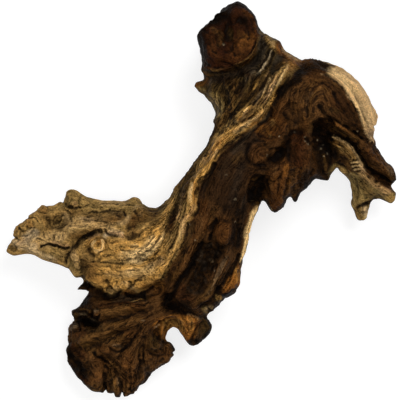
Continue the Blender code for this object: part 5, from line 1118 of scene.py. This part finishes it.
    ("umber", 0.5, 2.6, 46, 53, 50, 52), ("slate", 0.6, 2.2, 30, 42, 25, 36),
    ("umber", 0.6, 2.4, 100, 53.6, 108, 49.8, 117, 45), ("gold", 0.4, 1.8, 27.6, -52, 28.6, -60),
    ("cream", 0.7, 1.2, 37.6, -15, 35.4, -21, 33.8, -28), ("umber", 0.5, 1.5, 121.6, 62, 123.4, 56, 126, 50),
    ("sand", 0.6, 1.9, 122.8, -4, 122.8, -10), ("grey", 0.5, 1.4, 10.6, 76, 13, 70, 13, 64),
    ("gold", 0.5, 2.4, -26, -95, -19, -95, -13, -97), ("umber", 0.5, 1.6, 141, 20, 144, 16),
    ("umber", 0.4, 1.5, 10, 36, 6.6, 29), ("umber", 0.6, 3, 22, 69, 17, 62, 14, 56),
    ("olive", 0.5, 2.2, 15, 74, 15, 68), ("orange", 0.5, 3, 46, 53, 51, 52), ("rust", 0.6, 2.4, 55, 68, 56, 63),
    ("gold", 0.5, 1.6, 49, 68, 46, 65), ("umber", 0.5, 2.4, 28, 88, 28, 84), ("umber", 0.4, 2.6, 30, 34, 26, 30),
    ("soot", 0.5, 1.5, 44, 82, 41, 77), ("umber", 0.5, 2.4, -17, -52, -20, -58),
    ("soot", 0.6, 3.2, 19, -5, 22, -10), ("umber", 0.4, 3, -42, -15, -36, -15),
    ("grey", 0.4, 1.8, 49, 108, 46, 103), ("umber", 0.5, 2, 101, 87, 104, 84),
    ("orange", 0.5, 1.6, -56, -69.4, -50, -70), ("umber", 0.75, 3.2, -95, -27, -89, -26, -82, -23.4),
    ("char", 0.9, 1.4, -76, -22.8, -80, -24.4, -87, -28.4),
    ("char", 0.85, 1, -119, -34.6, -113, -33.2, -107, -34.6), ("char", 0.85, 1, -105.6, -35.4, -99, -36),
    ("cream", 0.7, 1.2, -79, -30.6, -81, -34, -78.6, -38.4, -75, -38, -72.6, -34, -73.4, -30.4),
    ("rust", 0.8, 1.2, -76.4, -31.6, -75.4, -34), ("cream", 0.8, 0.7, 114, 27.6, 118.8, 28.6),
    ("cream", 0.8, 0.7, 114.4, 25, 119.4, 26), ("cream", 0.8, 0.7, 115.6, 22.4, 120, 23.4),
    ("sand", 0.5, 2.4, -88, -15, -82, -15.4), ("gold", 0.5, 2.6, -68, -54, -63, -55),
    ("tan", 0.5, 1.6, -99, -41, -98.6, -44), ("umber", 0.5, 2.4, -33, -62, -30.6, -64),
    ("umber", 0.4, 3, -67, -121, -65, -125), ("umber", 0.4, 2.2, -10, -33, -13, -38),
    ("gold", 0.4, 2, 18, 46, 23, 46.4), ("brown", 0.5, 2.4, 110, 33, 107, 31),
]

# Small bright specks on the dark wood, partly grains of grit and resin and partly painted glints: x, y.
gritAndGlints = [
    (5, -11), (26.4, -16.6), (18.4, -21), (-3.6, -30.2), (59.4, 47.8), (50.2, 33.8), (79, 44.2), (81.2, 42),
    (88, 45), (90.6, 38.6), (95.4, 35), (118, 51.4), (17.6, 116.4), (-43.4, -90.6), (10.4, -52.4), (19.4, 18.6),
    (27, 7.8), (36.6, 22), (26.6, 1), (93, 33), (78.8, 47.4), (-7.6, -18.4), (71, 50.6), (92.4, 41),
]

# Lengths are in millimetres. Wobbles are strength, size and seed.
brush = {
    "pale": ("tan", "sand", "olive", "cream", "orange"),  # areas of bare wood
    "alongFibres": 5,  # how much more a border strays along the fibres than across them
    "stray": (0.9, 16, 21),
    "edgeWobble": (0.5, 9, 23),
    "steep": (0.45, 0.05),  # facings at which a side starts to be steep and is so in full
    "steepSoftness": 2.5,  # added to the borders there
    "fingers": (12, 5, 27),  # how the borders run out there, in level layers
    "layerRun": 0.06,
    "paleEnds": (46, 22),  # heights between which bare wood ends on a steep side
    "paleEndWobbles": (9, 6, 29),
    "paleEndSpots": (5, 9, 30),
    "paleLoss": 0.85,
    "pressure": (0.75, 0.15, 1.0),
    "broad": 2.2,  # strokes wider than this stray as the borders do
    "threadRun": 0.09,  # threads of a stroke, that run with the grain
    "threads": (0.6, 2.3, 25),
    "threadMiddle": 0.72,
    "threadLeast": 0.12,
    "wholeWidth": (1.2, 4, 0.6),  # half width where a stroke starts to close, over which it does, how far
    "visible": (-0.6, 0.1),
    "softEdge": (1.5, 0.45),  # of a stroke, in half widths
    "markEdge": (1.3, 0.0),  # of a mark's shade
    "knotRings": ((0.14, 0.72, 0.2), (-0.34, 1.15, 0.16), (-0.3, 0.15, 0.22)),  # shade, middle, width
    "steepShade": 0.55,
    "steepDark": (0.55, 0.1),
    "gritAndGlintShare": 0.5,
    "gritAndGlintSize": (0.75, 0.2),  # outer and inner edge of a grain
}


def toLinear(colour):
    share = np.array(colour, float) / 255
    return np.where(share <= 0.04045, share / 12.92, ((share + 0.055) / 1.055) ** 2.4)


def paintSkin(places, drawn, facing, across):
    tones = {name: toLinear(colour) for name, colour in palette.items()}
    paint = np.tile(tones["bark"], (len(drawn), 1))
    pale = np.zeros(len(drawn))

    def cover(where, colour, share):
        # lays a colour over the paint, whole where the share is 1
        paint[where] = paint[where] * (1 - share[:, None]) + tones[colour] * share[:, None]

    # borders stray a little, more along the fibres than across them
    fibres = np.column_stack([across * brush["alongFibres"], drawn])
    ragged = drawn + drift(fibres, *brush["stray"])
    # on the steep sides they run out in level fingers, and the pale wood ends above the ground
    steep = fade(facing[:, 2], *brush["steep"])
    layers = np.column_stack([drawn * brush["layerRun"], places[:, 2]])
    amount, size, seed = brush["fingers"]
    ragged += amount * steep[:, None] * drift(layers, 1, size, seed)
    height = places[:, 2] + wobbles(layers, [brush["paleEndWobbles"]]) + wobbles(places, [brush["paleEndSpots"]])
    low = steep * fade(height, *brush["paleEnds"])
    border = wobbles(fibres, [brush["edgeWobble"]])
    for colour, softness, *corners in areas:
        soft = softness + brush["steepSoftness"] * steep
        share = fade(insideArea(ragged, corners) + border, -soft, soft)
        if colour in brush["pale"]:
            share *= 1 - brush["paleLoss"] * low
            pale = np.maximum(pale, share)
        elif colour != "darkOlive":
            pale *= 1 - share
        cover(slice(None), colour, share)

    trembled = shaken(drawn)
    uneven = unevenness(trembled, *brush["pressure"])
    above = fade(facing[:, 2], *brush["visible"])
    # strokes break up into threads that run with the grain, narrow ones most
    threadPlaces = np.column_stack([across, drawn * brush["threadRun"]])
    threads = np.clip(brush["threadMiddle"] + wobbles(threadPlaces, [brush["threads"]]), brush["threadLeast"], 1)
    startWidth, overWidth, mostWhole = brush["wholeWidth"]
    for colour, strength, width, *points in strokes:
        near, away = nearLine(ragged if width > brush["broad"] else trembled, smoothLine(points), width * 1.7)
        share = strength * fade(away / width, *brush["softEdge"]) * above[near]
        whole = min(max((width - startWidth) / overWidth, 0), mostWhole)
        cover(near, colour, share * (whole + (1 - whole) * threads[near]))
    # painted shade in the cracks, grooves and traces, and a painted highlight along the ridges
    for (_, shade, _), _, width, *points in marks:
        near, away = nearLine(trembled, smoothLine(points), width * 2)
        inMark = fade(away / (width * (0.5 + 0.5 * uneven[near])), *brush["markEdge"])
        share = (inMark * uneven[near] * above[near])[:, None]
        paint[near] *= 1 + (shade - 1) * share
    for i, (x, y, radius, _, _) in enumerate(knots):
        away = knotShare(trembled, x, y, radius, i)
        shade = 1 + sum(light * hump(away, middle, width) for light, middle, width in brush["knotRings"])
        paint *= (1 + (shade - 1) * above)[:, None]
    # painted shade: the steep sides of the dark wood are darkened nearly to black
    paint *= (1 - brush["steepShade"] * (1 - pale) * fade(facing[:, 2], *brush["steepDark"]))[:, None]
    # bright specks, partly grit and resin, partly painted glints
    for x, y in gritAndGlints:
        near, away = nearLine(drawn, smoothLine((x, y)), 2)
        cover(near, "bone", brush["gritAndGlintShare"] * fade(away, *brush["gritAndGlintSize"]) * above[near])
    return paint, pale


def hollowness(mesh, places):
    # how far each vertex lies below the ones around it, near and in a wider ring
    count = len(places)
    ends = np.empty(len(mesh.edges) * 2, np.int32)
    mesh.edges.foreach_get("vertices", ends)
    a, b = ends[0::2], ends[1::2]
    links = np.bincount(a, minlength=count) + np.bincount(b, minlength=count)
    links = np.maximum(links, 1)[:, None]

    def around(values):
        total = np.zeros_like(values)
        for k in range(values.shape[1]):
            total[:, k] = (np.bincount(a, values[b, k], minlength=count)
                           + np.bincount(b, values[a, k], minlength=count))
        return total / links

    facing = readFacing(mesh)
    smooth = places.copy()
    depths = []
    for passes in skin["rings"]:
        for _ in range(passes):
            smooth = around(smooth)
        depths.append(((smooth - places) * facing).sum(axis=1))
    return depths


def keepValues(mesh, name, values):
    if values.ndim == 1:
        held = mesh.attributes.new(name, "FLOAT", "POINT")
        held.data.foreach_set("value", values.astype(np.float32))
    else:
        held = mesh.attributes.new(name, "FLOAT_COLOR", "POINT")
        full = np.column_stack([values, np.ones(len(values))])
        held.data.foreach_set("color", full.astype(np.float32).ravel())


# The finish of the wood.
woodFinish = {
    "fibreWidth": 1.2,  # millimetres across the grain
    "fibreLength": 26.0,  # millimetres along it
    "sway": 2.4,  # how far the fibres waver
    "paleContrast": 0.72,  # how strongly the fibres show on pale wood
    "darkContrast": 1.1,
    "swing": 1.6,  # how much they lighten and darken
    "hairs": -0.55,  # thin dark lines
    "furrows": 0.12,  # darkness of the furrows' beds
    "mottling": 0.7,  # lighter and darker spots between the fibres
    "brightness": 1.06,
    # painted shade: soot is the near-black colour that the hollows are darkened towards, and the next value says
    # how far
    "soot": (0.006, 0.004, 0.003, 1),
    "hollowShadeShare": 0.7,  # how far hollows are filled with it
    "edgeLight": (1.7, 1.62, 1.5, 1),
    "speckColour": (0.03, 0.018, 0.01, 1),
    "speckShare": 0.4,
    "roughness": 0.58,
    "specular": 0.02,
    "bumpStrength": 0.9,
    "bumpDepth": 0.0005,  # metres
}


def fibreGroup():
    tree, given, result = startShaderGroup("woodFibres", {
        "Width": woodFinish["fibreWidth"], "Length": woodFinish["fibreLength"]}, ("Streaks", "Fibres", "Hairs"))
    place = scaled(tree, addNode(tree, "ShaderNodeTexCoord").outputs["Object"], metre)
    sway = addNode(tree, "ShaderNodeTexNoise", {"Vector": place, "Scale": 0.16, "Detail": 1.0}).outputs[0]
    swayed = mathNode(tree, "MULTIPLY_ADD", sway, woodFinish["sway"], kept(tree, "across"))
    axes = splitAxes(tree, place)
    for name, factor, detail in (("Streaks", 2.8, 3.0), ("Fibres", 0.85, 1.0), ("Hairs", 1.35, 1.0)):
        width = mathNode(tree, "MULTIPLY", given["Width"], factor)
        noise = grainNoise(tree, swayed, axes, width, given["Length"], 0.0, detail, 0.6)
        if name == "Hairs":
            # thin dark lines between broader fibres
            folded = mathNode(tree, "ABSOLUTE", mathNode(tree, "SUBTRACT", noise, 0.5))
            spread = spreadNode(tree, folded, 0.0, 0.055, 1.0, 0.0)
        else:
            spread = spreadNode(tree, noise, 0.3, 0.7)
        tree.links.new(spread, result[name])
    return tree


# painted shade for the hollows and a painted highlight for the raised edges, read from how far each vertex lies
# below or above its neighbours
def shadeAndHighlightGroup():
    tree, given, result = startShaderGroup("hollowShadeAndEdgeHighlight", {
        "Hollow depth": 0.9, "Edge height": 0.45}, ("Hollow", "Edge"))
    both = mathNode(tree, "MULTIPLY_ADD", kept(tree, "wideHollow"), 0.35, kept(tree, "hollow"))
    raised = mathNode(tree, "MULTIPLY", both, -1.0)
    tree.links.new(spreadNode(tree, both, 0.06, given["Hollow depth"]), result["Hollow"])
    tree.links.new(spreadNode(tree, raised, 0.05, given["Edge height"]), result["Edge"])
    return tree


def speckGroup():
    tree, given, result = startShaderGroup("woodSpecks", {"Size": 1.3, "Amount": 0.36}, ("Specks", "Mottling"))
    place = addNode(tree, "ShaderNodeTexCoord").outputs["Object"]
    cells = mathNode(tree, "DIVIDE", metre, given["Size"])
    noise = noiseNode(tree, place, cells, 2.0, 0.6)
    start = mathNode(tree, "SUBTRACT", 0.7, mathNode(tree, "MULTIPLY", given["Amount"], 0.2))
    specks = spreadNode(tree, noise, start, mathNode(tree, "ADD", start, 0.1))
    tree.links.new(specks, result["Specks"])
    spots = noiseNode(tree, place, mathNode(tree, "MULTIPLY", cells, 1.15), 1.0, 0.6)
    tree.links.new(spreadNode(tree, spots, 0.3, 0.7, -0.5, 0.5), result["Mottling"])
    return tree


def mixColours(tree, how, share, first, second):
    return addNode(tree, "ShaderNodeMix", {0: share, 6: first, 7: second},
                   data_type="RGBA", blend_type=how).outputs[2]


def woodMaterial():
    wood = bpy.data.materials.new("mopaniWood")
    wood.use_nodes = True
    tree = wood.node_tree
    surface = tree.nodes["Principled BSDF"]
    pale, furrow, weather = (kept(tree, name) for name in ("pale", "furrow", "weather"))
    fibres, paintedShadeAndHighlight, specks = (addNode(tree, "ShaderNodeGroup", node_tree=group()).outputs
                            for group in (fibreGroup, shadeAndHighlightGroup, speckGroup))

    def work(*parts):
        return mathNode(tree, *parts)

    # fibres and furrows lighten and darken the painted colour
    contrast = spreadNode(tree, pale, 0.0, 1.0, woodFinish["darkContrast"], woodFinish["paleContrast"])
    both = work("MULTIPLY_ADD", fibres["Fibres"], 0.45, work("MULTIPLY", fibres["Streaks"], 0.55))
    swing = work("MULTIPLY", work("SUBTRACT", both, 0.5), work("MULTIPLY", contrast, weather))
    hairs = work("MULTIPLY", work("MULTIPLY", fibres["Hairs"], weather), woodFinish["hairs"])
    inFurrow = work("MULTIPLY", work("MINIMUM", furrow, 0.0), woodFinish["furrows"])
    spotted = work("MULTIPLY_ADD", specks["Mottling"], woodFinish["mottling"], woodFinish["brightness"])
    fibrous = work("MULTIPLY_ADD", swing, woodFinish["swing"], spotted)
    gain = work("MAXIMUM", work("ADD", fibrous, work("ADD", inFurrow, hairs)), 0.15)
    grey = addNode(tree, "ShaderNodeCombineXYZ", {0: gain, 1: gain, 2: gain}).outputs[0]
    grained = mixColours(tree, "MULTIPLY", 1.0, kept(tree, "woodPaint", "Color"), grey)
    # painted shade darkens the deep places towards near black, and a painted highlight makes the raised edges a
    # little paler
    hollow = work("MULTIPLY", paintedShadeAndHighlight["Hollow"], woodFinish["hollowShadeShare"])
    shaded = mixColours(tree, "MIX", hollow, grained, woodFinish["soot"])
    edge = work("MULTIPLY", paintedShadeAndHighlight["Edge"], work("MULTIPLY_ADD", pale, 0.25, 0.35))
    lifted = mixColours(tree, "MULTIPLY", 1.0, shaded, woodFinish["edgeLight"])
    edgeHighlighted = mixColours(tree, "MIX", edge, shaded, lifted)
    dots = work("MULTIPLY", specks["Specks"], woodFinish["speckShare"])
    tree.links.new(mixColours(tree, "MIX", dots, edgeHighlighted, woodFinish["speckColour"]), surface.inputs["Base Color"])
    rough = work("MULTIPLY_ADD", pale, 0.12, work("MULTIPLY_ADD", fibres["Fibres"], -0.12, woodFinish["roughness"]))
    tree.links.new(rough, surface.inputs["Roughness"])
    surface.inputs["Specular IOR Level"].default_value = woodFinish["specular"]
    height = work("MULTIPLY_ADD", fibres["Fibres"], 0.6, work("MULTIPLY", fibres["Hairs"], -0.6))
    height = work("MULTIPLY_ADD", specks["Mottling"], 0.6, height)
    bump = addNode(tree, "ShaderNodeBump", {
        "Strength": woodFinish["bumpStrength"], "Distance": woodFinish["bumpDepth"], "Height": height}).outputs[0]
    tree.links.new(bump, surface.inputs["Normal"])
    return wood


def weathering(drawn):
    # how strongly the grain stands out: little on gnarls, most where the fibres flow
    weather = np.ones(len(drawn))
    core = grain["core"]
    for x, y, reach, _, _ in gnarls:
        weather *= 1 - grain["gnarlLoss"] * fade(fromPoint(drawn, x, y), reach * 1.2, reach * core)
    for x, y, reach, more in flows:
        weather *= 1 + more * fade(fromPoint(drawn, x, y), reach, reach * core)
    return weather


def growRoot(node):
    root = refineSkin(node)
    places = readPlaces(root.data)
    places = shiftRim(places, onDrawing(places))
    places = carveSkin(places, readFacing(root.data), onDrawing(places))
    writePlaces(root.data, places)
    print("carved", len(places), "points with", len(marks), "marks")
    root = thinSkin(root)

    places, facing = readPlaces(root.data), readFacing(root.data)
    drawn = onDrawing(places)
    across = grainField(drawn)
    paint, pale = paintSkin(places, drawn, facing, across)
    carried = {"across": across, "pale": pale, "weather": weathering(drawn), "woodPaint": paint}
    for name, values in carried.items():
        keepValues(root.data, name, values)
    print("painted", len(strokes), "strokes")

    grow = root.modifiers.new("Furrows", "NODES")
    grow.node_group = furrowTree()
    setInputs(grow, {"Wood": woodMaterial()})
    root = applied(root, "mopaniWood")
    places = readPlaces(root.data)
    for name, values in zip(("hollow", "wideHollow"), hollowness(root.data, places)):
        keepValues(root.data, name, values)
    low, high = (np.array(corner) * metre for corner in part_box("mopani_root"))
    writePlaces(root.data, np.clip(places, low, high))
    for polygon in root.data.polygons:
        polygon.use_smooth = True
    print("grown", [round(v, 1) for v in (places.max(axis=0) - places.min(axis=0))], "mm")
    return root


root = growRoot(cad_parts["mopani_root"])
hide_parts("mopani_root")
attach(root, "root")


# Floor, light and camera, in metres and watts.
studio = {
    "floorHalf": 4,
    "floorColour": (0.35, 0.35, 0.35, 1),
    "floorGlow": 0.76,
    "floorRoughness": 0.9,
    "floorSpecular": 0.1,
    "lights": {  # power, size and place
        "keyLight": (15.0, 0.9, (0.55, 0.75, 1.25)),
        "fillLight": (7.0, 1.2, (-1.0, -0.45, 1.2)),
        "topLight": (5.0, 0.7, (0.1, -0.25, 1.7)),
    },
    "aim": (0, 0, 0.03),
    "roomColour": (1, 0.99, 0.97, 1),
    "ambience": 0.16,  # how much the room lights the root
    "backdrop": 0.95,  # how bright the room looks
    "lens": 150,  # millimetres
    "sensor": 36,
}


def layFloor():
    half = studio["floorHalf"]
    mesh = bpy.data.meshes.new("floor")
    mesh.from_pydata([(-half, -half, 0), (half, -half, 0), (half, half, 0), (-half, half, 0)], [], [(0, 1, 2, 3)])
    floor = freshObject("floor", mesh)
    paper = bpy.data.materials.new("paleFloor")
    paper.use_nodes = True
    sheet = paper.node_tree.nodes["Principled BSDF"].inputs
    sheet["Base Color"].default_value = studio["floorColour"]
    sheet["Roughness"].default_value = studio["floorRoughness"]
    sheet["Specular IOR Level"].default_value = studio["floorSpecular"]
    sheet["Emission Color"].default_value = (1, 1, 1, 1)
    sheet["Emission Strength"].default_value = studio["floorGlow"]
    mesh.materials.append(paper)


def lightScene():
    for name, (power, size, place) in studio["lights"].items():
        data = bpy.data.lights.new(name, "AREA")
        data.energy, data.shape, data.size = power, "DISK", size
        light = freshObject(name, data)
        light.location = place
        light.rotation_euler = (Vector(studio["aim"]) - Vector(place)).to_track_quat("-Z", "Y").to_euler()
    world = bpy.data.worlds.new("paleRoom")
    world.use_nodes = True
    tree = world.node_tree
    room = tree.nodes["Background"]
    room.inputs["Color"].default_value = studio["roomColour"]
    room.inputs["Strength"].default_value = studio["ambience"]
    seenRoom = addNode(tree, "ShaderNodeBackground", {"Color": (1, 1, 1, 1), "Strength": studio["backdrop"]})
    ray = addNode(tree, "ShaderNodeLightPath").outputs["Is Camera Ray"]
    either = addNode(tree, "ShaderNodeMixShader", {0: ray, 1: room.outputs[0], 2: seenRoom.outputs[0]}).outputs[0]
    tree.links.new(either, tree.nodes["World Output"].inputs["Surface"])
    bpy.context.scene.world = world


def placeCamera():
    data = bpy.data.cameras.new("fromAbove")
    data.lens = studio["lens"]
    data.sensor_width = studio["sensor"]
    camera = freshObject("fromAbove", data)
    x, y = (-share / metre for share in drawing["middle"])
    camera.location = (x, y, (drawing["viewDistance"] + drawing["level"]) / metre)
    bpy.context.scene.camera = camera


layFloor()
lightScene()
placeCamera()
print("set under", len(studio["lights"]), "lights")
bpy.context.scene.view_settings.view_transform = "Standard"
